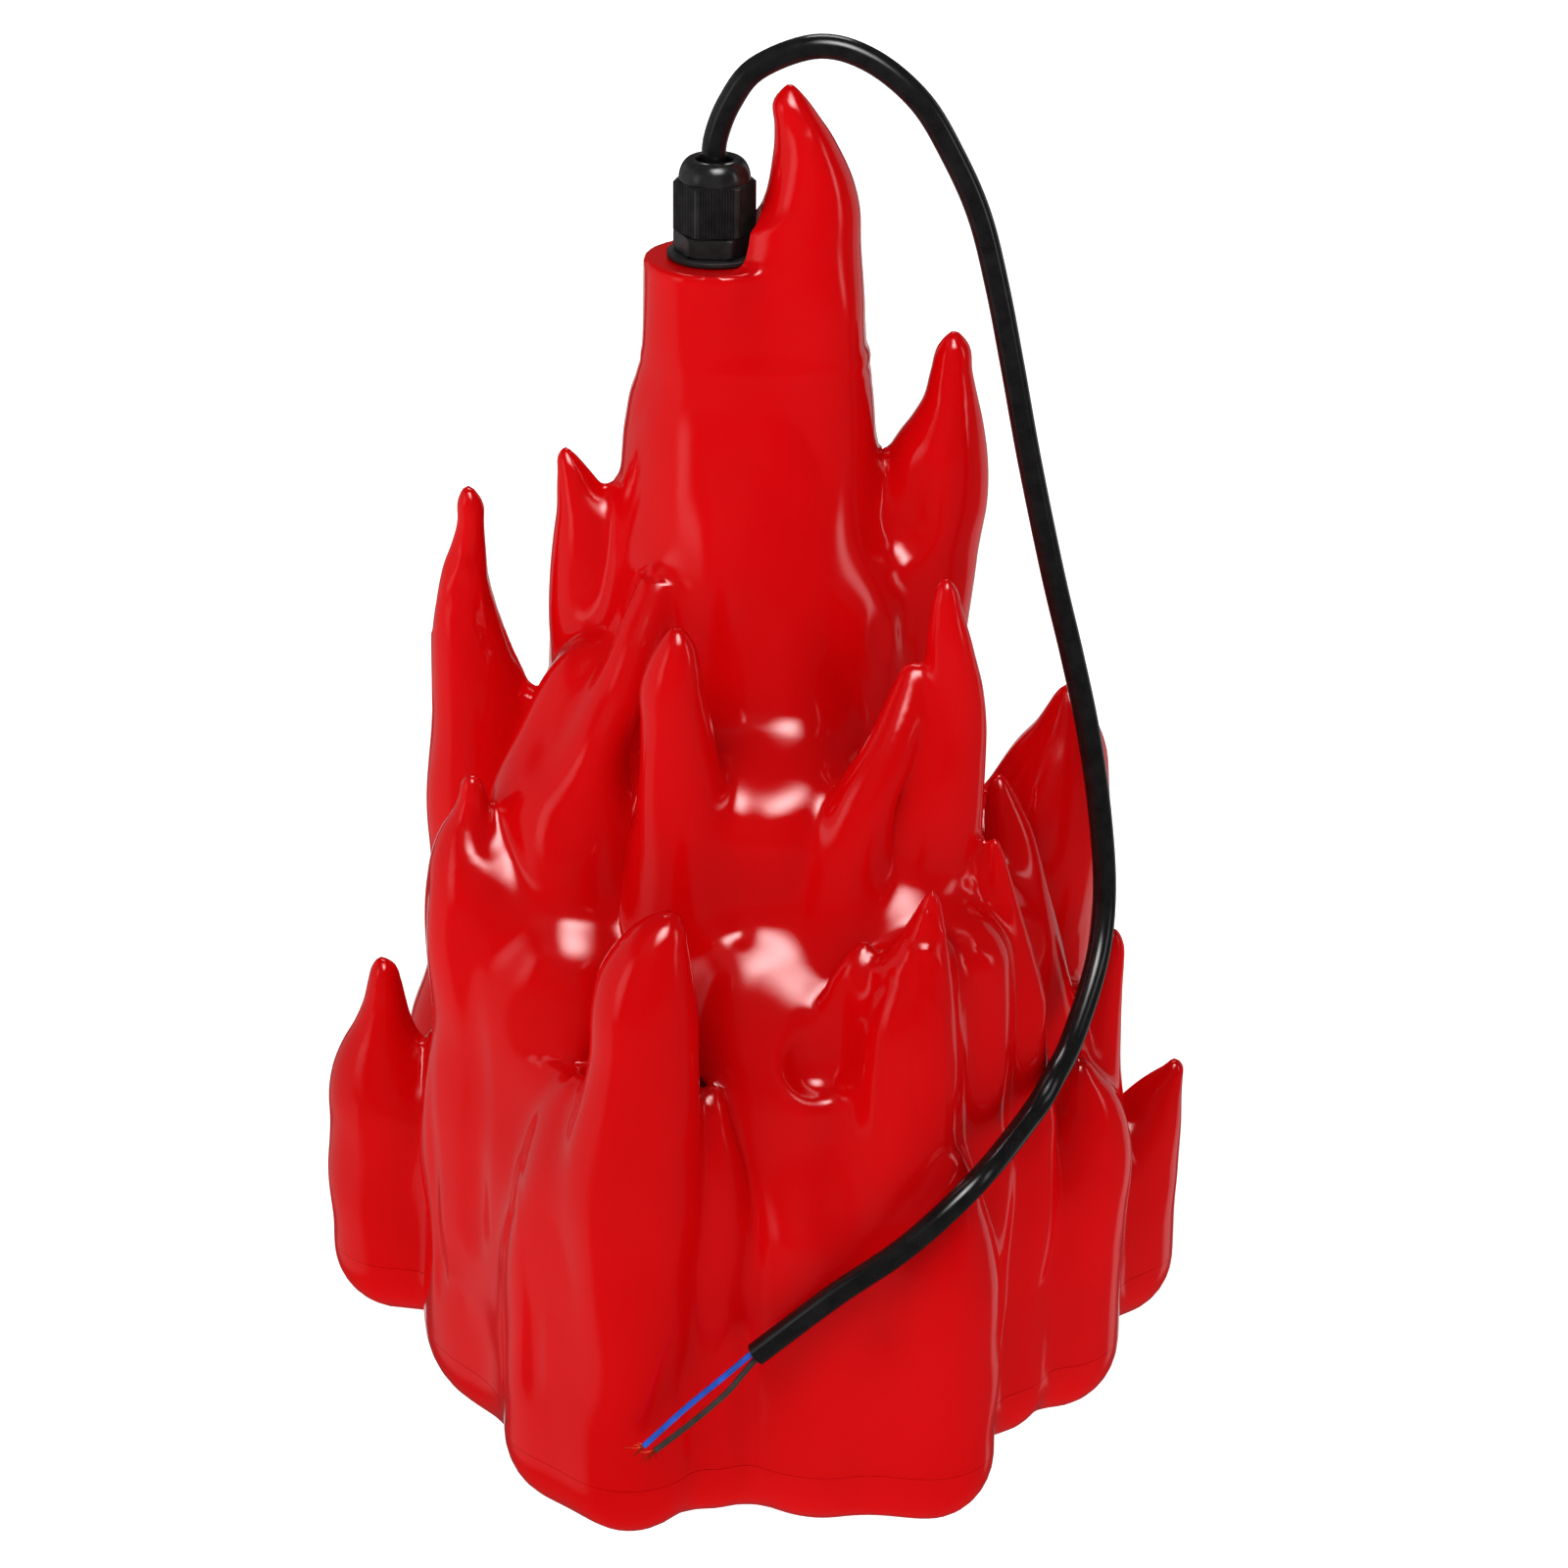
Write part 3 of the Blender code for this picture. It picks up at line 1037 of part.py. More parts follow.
def build_tray_screws(loop):
    """The screws that hold the tray, driven upwards from its counterbores."""
    grip = PILLAR_LOW + TRAY_SCREW_GRIP - SCREW_SEAT
    places = [(x, y, SCREW_SEAT) for x, y in screw_places(loop)]
    head = TRAY_SCREW_HEAD_RADIUS, TRAY_SCREW_HEAD_HEIGHT
    for screw in screw_set("tray_screw", places, TRAY_SCREW_RADIUS, grip, *head):
        screw.rotation_euler = (math.pi, 0, 0)


def last_clear(heights, clear):
    """The height up to which everything is clear."""
    return heights[-1] if clear.all() else heights[max(int(np.argmin(clear)) - 1, 0)]


def beside_carrier():
    """Where the inner lead passes the LED column: its x, and the height from which it fits there."""
    x = -(CARRIER_CORNER + STRIP_THICKNESS + LED_HEIGHT + 2.5 * LEAD_RADIUS)
    heights = np.arange(PARTING_HEIGHT, NUT_LOW - THREAD_LENGTH, 0.001)
    route = np.stack([np.full_like(heights, x), np.full_like(heights, NECK_Y), heights], -1)
    clear = flame_at(route) < -(WALL + LEAD_RADIUS + LEAD_ROOM)
    return x, last_clear(heights, clear)


def carrier_top():
    """How high the LED column can stand and still clear the inside of the flame and the lead."""
    reach = CARRIER_CORNER + LED_HEIGHT + STRIP_THICKNESS
    heights = np.arange(CARRIER_TUBE_LOW, FLAME_HEIGHT, 0.001)
    bearings = np.radians(np.arange(0, 360, 10))
    h, b = np.meshgrid(heights, bearings, indexing="ij")
    x, y = (reach * np.cos(b)).ravel(), (reach * np.sin(b)).ravel()
    values = flame_field(x, y, h.ravel()).reshape(h.shape)
    clear = (values < -(WALL + CARRIER_HEADROOM)).all(axis=1)
    return min(last_clear(heights, clear), beside_carrier()[1]) - CAP_THICKNESS - GAP


def build_led_carrier(top):
    """The hexagonal tube with its round foot."""
    tube = prism("led_carrier", hexagon(CARRIER_ACROSS_FLATS, turn=30), CARRIER_LOW, top, "aluminium")
    rim = cylinder_profile(CARRIER_FOOT_RADIUS, CARRIER_LOW, CARRIER_TUBE_LOW)
    foot = as_cutter(turned("carrier_foot", [(rim, 0, 0)], segments=36))
    boolean(tube, foot, "UNION")
    holes = [(cylinder_profile(CARRIER_BORE, 0.0, top + CUT_ROOM), 0, 0)]
    boolean(tube, as_cutter(turned("carrier_bore_cutter", holes, segments=24)), "DIFFERENCE")
    small = []
    for degrees in CARRIER_SCREW_BEARINGS:
        small.append((cylinder_profile(SMALL_PILOT, 0.0, top), *at_bearing(degrees, CARRIER_SCREW_CIRCLE)))
    boolean(tube, as_cutter(turned("carrier_hole_cutter", small, segments=10)), "DIFFERENCE")
    return tube


def build_carrier_cap(top):
    """The plug that closes the top of the LED column."""
    plug = CARRIER_BORE - RUNNING_GAP
    low, seat = top - CAP_PLUG, top + GAP
    profile = [
        (0.0, seat + CAP_THICKNESS), (0.9 * CAP_RADIUS, seat + CAP_THICKNESS),
        (CAP_RADIUS, seat + 0.6 * CAP_THICKNESS), (CAP_RADIUS, seat), (plug, seat), (plug, low), (0.0, low),
    ]
    return turned("carrier_cap", [(profile, 0, 0)], "white_plastic", segments=24)


def build_led_strip(index, top):
    """One LED board: a flat strip whose outer face carries a row of square LEDs."""
    low, high = CARRIER_TUBE_LOW + STRIP_END_MARGIN, top - STRIP_END_MARGIN
    inner = CARRIER_ACROSS_FLATS / 2 + GAP
    outer = inner + STRIP_THICKNESS
    count = max(1, int((high - low) // LED_PITCH))
    first = (low + high) / 2 - (count - 1) * LED_PITCH / 2
    bm = bmesh.new()
    heights = [low]
    for k in range(count):
        middle = first + k * LED_PITCH
        heights += [middle - LED_SIZE / 2, middle + LED_SIZE / 2]
    heights.append(high)
    columns = (-STRIP_WIDTH / 2, -LED_SIZE / 2, LED_SIZE / 2, STRIP_WIDTH / 2)
    front = [[bm.verts.new((outer, y, z)) for y in columns] for z in heights]
    led_faces = []
    for row in range(len(heights) - 1):
        for column in range(3):
            a, b = front[row][column : column + 2]
            c, d = front[row + 1][column + 1], front[row + 1][column]
            face = bm.faces.new((a, b, c, d))
            if column == 1 and row % 2 == 1:
                led_faces.append(face)
    rim = [e for e in bm.edges if e.is_boundary]
    back = bmesh.ops.extrude_edge_only(bm, edges=rim)["geom"]
    back_verts = [g for g in back if isinstance(g, bmesh.types.BMVert)]
    bmesh.ops.translate(bm, verts=back_verts, vec=(inner - outer, 0, 0))
    bmesh.ops.contextual_create(bm, geom=[e for e in bm.edges if e.is_boundary])
    raised = bmesh.ops.extrude_discrete_faces(bm, faces=led_faces)["faces"]
    for face in raised:
        bmesh.ops.translate(bm, verts=face.verts, vec=(LED_HEIGHT, 0, 0))
    strip = add_bmesh(f"led_strip_{index + 1}", bm, "led_board")
    strip.rotation_euler = (0, 0, math.radians(60 * index))
    return strip


def build_small_screws():
    """The screws of the LED column's foot and of the driver's lugs."""
    places = [(x, y, top + GAP) for x, y, top in small_screw_seats()]
    sizes = SMALL_SCREW_RADIUS, SMALL_SCREW_GRIP, SMALL_SCREW_HEAD_RADIUS, SMALL_SCREW_HEAD_HEIGHT
    screw_set("carrier_screw", places[:3], *sizes)
    screw_set("driver_screw", places[3:], *sizes)


def build_driver_case():
    """The LED driver: a rounded case held by two lugs."""
    x, y = DRIVER_CENTRE
    length, width, height = DRIVER_SIZE
    low = TRAY_WALL + DRIVER_LIFT
    case = box("driver_case", (x, y, low + height / 2), DRIVER_SIZE, "white_plastic", DRIVER_EDGE)
    lug_low = TRAY_WALL + DRIVER_STANDOFF + GAP
    lugs = [
        (cylinder_profile(DRIVER_LUG_RADIUS, lug_low, lug_low + DRIVER_LUG_THICKNESS), lug_x, lug_y)
        for lug_x, lug_y in driver_lugs()
    ]
    boolean(case, as_cutter(turned("lug_cutter", lugs, segments=20)), "UNION")
    bar = box(
        "lug_bar_cutter", (x, y, lug_low + DRIVER_LUG_THICKNESS / 2),
        (length + 2 * DRIVER_LUG_REACH, 1.8 * DRIVER_LUG_RADIUS, DRIVER_LUG_THICKNESS * 0.999),
    )
    boolean(case, as_cutter(bar), "UNION")
    hole = cylinder_profile(SMALL_PILOT, 0.0, lug_low + 2 * CUT_ROOM)
    holes = [(hole, lug_x, lug_y) for lug_x, lug_y in driver_lugs()]
    boolean(case, as_cutter(turned("lug_hole_cutter", holes, segments=10)), "DIFFERENCE")
    return case


def build_terminal_block():
    """A three-way terminal block with a groove between its ways, and its clamping screws."""
    x, y = TERMINAL_CENTRE
    low = TRAY_WALL + GAP
    top = low + TERMINAL_SIZE[2]
    block = box("terminal_block", (x, y, low + TERMINAL_SIZE[2] / 2), TERMINAL_SIZE, "clear_nylon")
    groove = (2 * TERMINAL_SIZE[0], TERMINAL_GROOVE, 2 * TERMINAL_GROOVE_DEPTH)
    grooves = bmesh.new()
    for side in (-0.5, 0.5):
        made = bmesh.ops.create_cube(grooves, size=1.0)["verts"]
        bmesh.ops.scale(grooves, vec=groove, verts=made)
        bmesh.ops.translate(grooves, vec=(x, y + side * TERMINAL_PITCH, top), verts=made)
    boolean(block, as_cutter(add_bmesh("groove_cutter", grooves)), "DIFFERENCE")
    ways = [y + k * TERMINAL_PITCH for k in (-1, 0, 1)]
    hole = cylinder_profile(TERMINAL_SCREW_RADIUS + GAP, top - TERMINAL_SCREW_DEPTH, top + CUT_ROOM)
    boolean(block, as_cutter(turned("way_cutter", [(hole, x, w) for w in ways], segments=12)), "DIFFERENCE")
    for number, way in enumerate(ways, 1):
        screw = cylinder_profile(TERMINAL_SCREW_RADIUS, top - TERMINAL_SCREW_DEPTH + GAP, top - 2 * GAP)
        turned(f"terminal_screw_{number}", [(screw, x, way)], "steel", segments=10)
    return block


def build_inner_supply():
    """The supply inside the flame: its sheath from the gland down, and two cores to the terminals."""
    x, y = TERMINAL_CENTRE
    edge = x - TERMINAL_SIZE[0] / 2
    wire_z = TRAY_WALL + TERMINAL_WIRE_HEIGHT
    sheath_end = TRAY_WALL + TERMINAL_SIZE[2] + 4.5 * LEAD_RADIUS
    side, beside = beside_carrier()
    leaving = THREAD_LOW - GAP
    route = (
        (NECK_X, NECK_Y, SHEATH_SPLIT - GAP), (NECK_X, NECK_Y, NECK_TOP), (NECK_X, NECK_Y, leaving),
        (0.7 * NECK_X + 0.3 * side, NECK_Y, 0.7 * leaving + 0.3 * beside), (side, NECK_Y, beside),
        (side, y, 0.6 * beside), (0.5 * (side + x), y, 0.35 * beside), (x, y, sheath_end + 4 * LEAD_RADIUS),
        (x, y, sheath_end),
    )
    lead("inner_lead", route, LEAD_RADIUS, "lead_sheath")
    for colour, way in (("blue", -1), ("brown", 1)):
        terminal_y = y + way * TERMINAL_PITCH
        start = sheath_end - 2 * GAP
        route = (
            (x, y + 1.9 * way * CORE_RADIUS, start),
            (x - CORE_RADIUS, y + 3 * way * CORE_RADIUS, start - CORE_BEND),
            (edge - 0.5 * CORE_BEND, y + 0.8 * way * TERMINAL_PITCH, wire_z + 3 * CORE_BEND),
            (edge - 1.4 * CORE_BEND, terminal_y, wire_z + 1.25 * CORE_BEND),
            (edge - CORE_BEND, terminal_y, wire_z + 0.15 * CORE_BEND),
            (edge - GAP, terminal_y, wire_z),
        )
        lead(f"inner_core_{colour}", route, CORE_RADIUS, f"core_{colour}", step=CORE_STEP, sides=1)


def build_driver_leads():
    """The lead from the terminals to the driver, and the one from the driver to the LED strips."""
    x, y = DRIVER_CENTRE
    front = y - DRIVER_SIZE[1] / 2 - GAP
    z = TRAY_WALL + DRIVER_LIFT + 0.55 * DRIVER_SIZE[2]
    feed_x = x - 0.34 * DRIVER_SIZE[0]
    terminal_x = TERMINAL_CENTRE[0] + TERMINAL_SIZE[0] / 2
    terminal_y = TERMINAL_CENTRE[1] + TERMINAL_PITCH
    terminal_z = TRAY_WALL + TERMINAL_WIRE_HEIGHT
    bend = 2 * DRIVER_LEAD_RADIUS
    feed = (
        (terminal_x + GAP, terminal_y, terminal_z), (terminal_x + bend, terminal_y, terminal_z),
        (terminal_x + 2.5 * bend, terminal_y + 1.4 * bend, terminal_z + 0.5 * bend),
        (feed_x - 1.7 * bend, front - 3.6 * bend, z - 0.3 * bend), (feed_x, front - 1.7 * bend, z),
        (feed_x, front, z),
    )
    lead("driver_feed_lead", feed, DRIVER_LEAD_RADIUS, "lead_sheath", step=0.005, sides=1)

    out_x = x + 0.16 * DRIVER_SIZE[0]
    face = CARRIER_ACROSS_FLATS / 2 + GAP
    angle = math.radians(60)
    strip_x = face * math.cos(angle) + STRIP_THICKNESS
    strip_y = face * math.sin(angle) + STRIP_THICKNESS
    strip_low = CARRIER_TUBE_LOW + STRIP_END_MARGIN - GAP
    output = (
        (out_x, front, z), (out_x, front - 5 * LED_LEAD_RADIUS, z), (out_x, front - 10 * LED_LEAD_RADIUS, z),
        (strip_x + 2 * LED_LEAD_RADIUS, strip_y + 2.4 * LED_LEAD_RADIUS, strip_low - 2.6 * LED_LEAD_RADIUS),
    )
    lead("led_lead", output, LED_LEAD_RADIUS, "core_brown", step=CORE_STEP, sides=1)


def build_gland_body():
    """The gland's washer, its body with flange, spigot and thread, and the locknut below the neck."""
    at = (NECK_X, NECK_Y)
    ring = [
        (WASHER_RADIUS, WASHER_LOW + WASHER_THICKNESS), (WASHER_RADIUS, WASHER_LOW),
        (HOLE_RADIUS, WASHER_LOW), (HOLE_RADIUS, WASHER_LOW + WASHER_THICKNESS),
    ]
    turned("gland_washer", [(ring, *at)], "black_rubber", segments=24)

    bush_seat = FLANGE_LOW + BUSH_SEAT
    counterbore = CLAW_RADIUS + GAP
    body = [
        (SPIGOT_RADIUS, SPIGOT_TOP), (SPIGOT_RADIUS, FLANGE_TOP), (GLAND_CORNER_RADIUS, FLANGE_TOP),
        (GLAND_CORNER_RADIUS, FLANGE_LOW), (THREAD_RADIUS, FLANGE_LOW), (THREAD_RADIUS, THREAD_LOW),
        (BODY_BORE, THREAD_LOW), (BODY_BORE, bush_seat), (counterbore, bush_seat), (counterbore, SPIGOT_TOP),
    ]
    gland_body = turned("gland_body", [(body, *at)], "black_nylon", segments=24)
    blank = hexagon(GLAND_ACROSS_FLATS, *at, turn=FLANGE_TURN)
    blank = prism("flange_hexagon", blank, THREAD_LOW - CUT_ROOM, CAP_TOP)
    boolean(gland_body, as_cutter(blank), "INTERSECT")

    edge = LOCKNUT_CORNER_RADIUS - LOCKNUT_CHAMFER
    nut = [
        (edge, NUT_TOP), (LOCKNUT_CORNER_RADIUS, NUT_TOP - LOCKNUT_CHAMFER),
        (LOCKNUT_CORNER_RADIUS, NUT_LOW + LOCKNUT_CHAMFER), (edge, NUT_LOW),
        (HOLE_RADIUS, NUT_LOW), (HOLE_RADIUS, NUT_TOP),
    ]
    locknut = turned("gland_locknut", [(nut, *at)], "black_nylon", segments=24)
    blank = hexagon(LOCKNUT_ACROSS_FLATS, *at, turn=LOCKNUT_TURN)
    blank = prism("locknut_hexagon", blank, NUT_LOW - CUT_ROOM, NUT_TOP + CUT_ROOM)
    boolean(locknut, as_cutter(blank), "INTERSECT")


def build_gland_claw():
    """The slotted claw that clamps the lead, and the rubber bush inside it."""
    at = (NECK_X, NECK_Y)
    bore = CLAW_RADIUS - CLAW_WALL
    claw = [
        (CLAW_RADIUS - CLAW_TAPER, FINGER_TOP), (CLAW_RADIUS + CLAW_TAPER, FINGER_LOW),
        (CLAW_COLLAR, FINGER_LOW), (CLAW_COLLAR, COLLAR_LOW), (CLAW_RADIUS, COLLAR_LOW),
        (CLAW_RADIUS, BUSH_LOW), (bore, BUSH_LOW), (bore, FINGER_TOP),
    ]
    claws = turned("gland_claw", [(claw, *at)], "black_nylon", segments=24)
    slots = bmesh.new()
    for k in range(3):
        made = bmesh.ops.create_cube(slots, size=1.0)["verts"]
        bmesh.ops.scale(slots, vec=(4 * CLAW_RADIUS, CLAW_SLOT, 2 * CLAW_FINGER_HEIGHT), verts=made)
        bmesh.ops.translate(slots, vec=(0, 0, FINGER_LOW + CLAW_FINGER_HEIGHT + GAP), verts=made)
        turn = Matrix.Rotation(math.radians(60 * k), 4, "Z")
        bmesh.ops.transform(slots, matrix=Matrix.Translation((*at, 0)) @ turn, verts=made)
    boolean(claws, as_cutter(add_bmesh("claw_slot_cutter", slots)), "DIFFERENCE")
    claws.modifiers[-1].use_self = True

    bush = [
        (bore - GAP, FINGER_TOP), (bore - GAP, BUSH_LOW),
        (LEAD_RADIUS + GAP, BUSH_LOW), (LEAD_RADIUS + GAP, FINGER_TOP),
    ]
    turned("gland_bush", [(bush, *at)], "black_rubber", segments=20)
    return claws


def build_gland_cap():
    """The cap nut: hexagonal skirt, domed top and a cone inside that closes the claw."""
    edge = CAP_EDGE
    inner_top = CAP_TOP - CAP_WALL
    cone_low = FINGER_LOW + CLAW_COLLAR_HEIGHT
    profile = []
    for k in range(5):
        angle = math.pi / 2 * k / 4
        across = CAP_DOME_RADIUS - (CAP_DOME_RADIUS - CAP_MOUTH_RADIUS - edge) * (1 - math.cos(angle))
        profile.append((across, CAP_SHOULDER + (CAP_DOME_HEIGHT - 0.3 * edge) * math.sin(angle)))
    profile = profile[::-1]
    dome = [(CAP_MOUTH_RADIUS + 0.3 * edge, CAP_TOP)] + profile
    skirt = [
        (GLAND_CORNER_RADIUS - edge, CAP_SHOULDER), (GLAND_CORNER_RADIUS, CAP_SHOULDER - edge),
        (GLAND_CORNER_RADIUS, CAP_LOW),
    ]
    bore = SPIGOT_RADIUS + RUNNING_GAP
    inside = [
        (bore, CAP_LOW), (bore, cone_low), (CAP_MOUTH_RADIUS + 0.6 * edge, inner_top),
        (CAP_MOUTH_RADIUS, inner_top + edge), (CAP_MOUTH_RADIUS, CAP_TOP - 0.3 * edge),
    ]
    cap = turned("gland_cap", [(dome + skirt + inside, 0, 0)], "black_nylon", segments=24)
    blank = hexagon(GLAND_ACROSS_FLATS, turn=GLAND_TURN)
    blank = prism("cap_hexagon", blank, CAP_LOW - CUT_ROOM, CAP_TOP + CUT_ROOM)
    boolean(cap, as_cutter(blank), "INTERSECT")
    return cap


def build_free_lead():
    """The lead outside: sheath from the gland to its cut end, then the two bare cores against that end."""
    start = (NECK_X, NECK_Y, SHEATH_SPLIT)
    lead("supply_lead", (start, *LEAD_ROUTE), LEAD_RADIUS, "lead_sheath")
    end, before = Vector(LEAD_ROUTE[-1]), Vector(LEAD_ROUTE[-2])
    along = (end - before).normalized()
    across = along.cross(Vector((0, 1, 0))).normalized()
    for colour, side, tip_route in (("blue", -1, BLUE_CORE_ROUTE), ("brown", 1, BROWN_CORE_ROUTE)):
        first = end + along * GAP + across * side * CORE_SPREAD * CORE_RADIUS
        second = first + along * CORE_STRAIGHT
        lead(f"core_{colour}", (first, second, *tip_route), CORE_RADIUS, f"core_{colour}", step=CORE_STEP)


def main():
    clear_scene()
    loop = parting_outline()
    build_flame_shell(loop)
    build_base_tray(loop)
    build_tray_seal(loop)
    build_tray_screws(loop)

    top = carrier_top()
    build_led_carrier(top)
    build_carrier_cap(top)
    for index in range(6):
        build_led_strip(index, top)
    build_small_screws()
    build_driver_case()
    build_terminal_block()
    build_inner_supply()
    build_driver_leads()

    build_gland_body()
    claws = build_gland_claw()
    cap = build_gland_cap()
    axis = bpy.data.objects.new("gland_axis", None)
    axis.location = (NECK_X, NECK_Y, 0)
    bpy.context.scene.collection.objects.link(axis)
    cap.parent = axis
    bpy.data.objects["cap_hexagon"].parent = axis
    parent_keep_place([claws], axis)
    build_free_lead()


main()
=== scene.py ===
"""The look of a flame effect light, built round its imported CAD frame. Metres, +Z up, front towards -Y."""

import json
import math
import random

import bmesh
import bpy
import numpy as np
import openvdb
from mathutils import Matrix, Vector
from mathutils import noise as random_field
from mathutils.bvhtree import BVHTree


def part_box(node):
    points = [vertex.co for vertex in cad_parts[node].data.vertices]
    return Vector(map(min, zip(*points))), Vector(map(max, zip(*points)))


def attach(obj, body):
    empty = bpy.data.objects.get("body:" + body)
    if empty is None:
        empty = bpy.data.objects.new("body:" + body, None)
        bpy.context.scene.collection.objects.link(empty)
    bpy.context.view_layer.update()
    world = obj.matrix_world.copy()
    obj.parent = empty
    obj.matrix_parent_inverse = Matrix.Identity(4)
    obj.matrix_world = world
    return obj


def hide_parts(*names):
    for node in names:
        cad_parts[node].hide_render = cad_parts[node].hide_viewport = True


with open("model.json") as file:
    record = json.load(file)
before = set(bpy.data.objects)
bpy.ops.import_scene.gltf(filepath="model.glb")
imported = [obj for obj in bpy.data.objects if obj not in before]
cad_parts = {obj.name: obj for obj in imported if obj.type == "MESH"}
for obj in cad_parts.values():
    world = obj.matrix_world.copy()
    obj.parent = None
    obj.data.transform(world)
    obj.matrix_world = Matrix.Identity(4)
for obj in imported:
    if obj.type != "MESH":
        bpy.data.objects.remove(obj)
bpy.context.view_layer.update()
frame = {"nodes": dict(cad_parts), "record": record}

# Boxes of the CAD model's nodes: lowest and highest corner
CAP_LOW_CORNER, CAP_HIGH_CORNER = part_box("gland_cap")
BODY_LOW, BODY_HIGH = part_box("gland_body")
WASHER_BOX_LOW, WASHER_BOX_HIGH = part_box("gland_washer")
NUT_BOX_LOW, NUT_BOX_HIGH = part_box("gland_locknut")

# Steps of the flame's outer surface and its cavity
FLAME_STEP, CAVITY_STEP = 0.0014, 0.004
# The moulding's soft swells: cells a metre and share of each wave, how many fewer cells upwards, and their depth
MOULD_WAVES = ((26.0, 1.0), (54.0, 0.50))
MOULD_UPRIGHT = 0.6
MOULD_DEPTH = 0.0034
# The least wall that they leave, and where they fade in: above the ground, from the neck's top and from the lead
THIN_WALL = 0.0014
JOINT_FADE, NECK_FADE, LEAD_FADE = (0.026, 0.050), (0.024, 0.040), (0.006, 0.020)

# The camera, fitted to the gland, outline and base in the photo
CAMERA_PLACE = (0.0075, -1.0156, 0.6412)
CAMERA_DOWN, CAMERA_ROLL = 24.75, 0.7
CAMERA_SENSOR, CAMERA_LENS = 36.0, 93.1

# Sizes that part.py also has, because neither script can read the other
DRAWN_HEIGHT = 0.370
DRAWN_WIDTH = 0.250
FLAME_HEIGHT = 0.370
FLAME_WIDTH = 0.250
GAP = 0.0003
WALL = 0.0025
PARTING_HEIGHT = 0.022
BASE_UPRIGHT = 0.002
BASE_ROUNDING = PARTING_HEIGHT - BASE_UPRIGHT
DRAFT = 0.014
TIP_RADIUS = 0.0026
FOOT_BLEND = 0.011
TIP_BLEND = 0.006
SWELL_BLEND = 0.014
SCOOP_BLEND = 0.0025
CREST_ABOVE_NECK = 0.046
NECK_TOP = FLAME_HEIGHT - CREST_ABOVE_NECK
NECK_X, NECK_Y = -0.0123, 0.0
NECK_RADIUS = 0.0185
NECK_EDGE = 0.0012
NECK_DRAFT = 0.012
NECK_BLEND = 0.007
NECK_TOP_BLEND = 0.0035
LEAD_RADIUS = 0.0032
CORE_RADIUS = 0.0008
CORE_SPREAD = 1.15
GLAND_ACROSS_FLATS = 0.0189
GLAND_CORNER_RADIUS = 0.0108
GLAND_TURN = 5.5
FLANGE_TURN = -6.0
CAP_DOME_HEIGHT = 0.0057
CAP_DOME_RADIUS = 0.0094
CAP_MOUTH_RADIUS = LEAD_RADIUS + 0.0016
CAP_WALL = 0.0018
CLAW_RADIUS = LEAD_RADIUS + 0.0025
SPIGOT_RADIUS = CLAW_RADIUS + 0.0016
TRAY_SCREW_HEAD_RADIUS = 0.0039
COUNTERBORE_DEPTH = 0.010

# Sizes of this script's own
GLAND_HOLE = 0.0078
TRAY_SCREWS, TRAY_SCREW_HOLE, TRAY_BOSS_RADIUS = 6, 0.0023, 0.0055
STRAND_RADIUS = 0.00009


def metres(table):
    """A table of the flame's shapes in metres, from whole tenths of a millimetre."""
    return {name: np.array(numbers) / 10000 for name, numbers in table.items()}


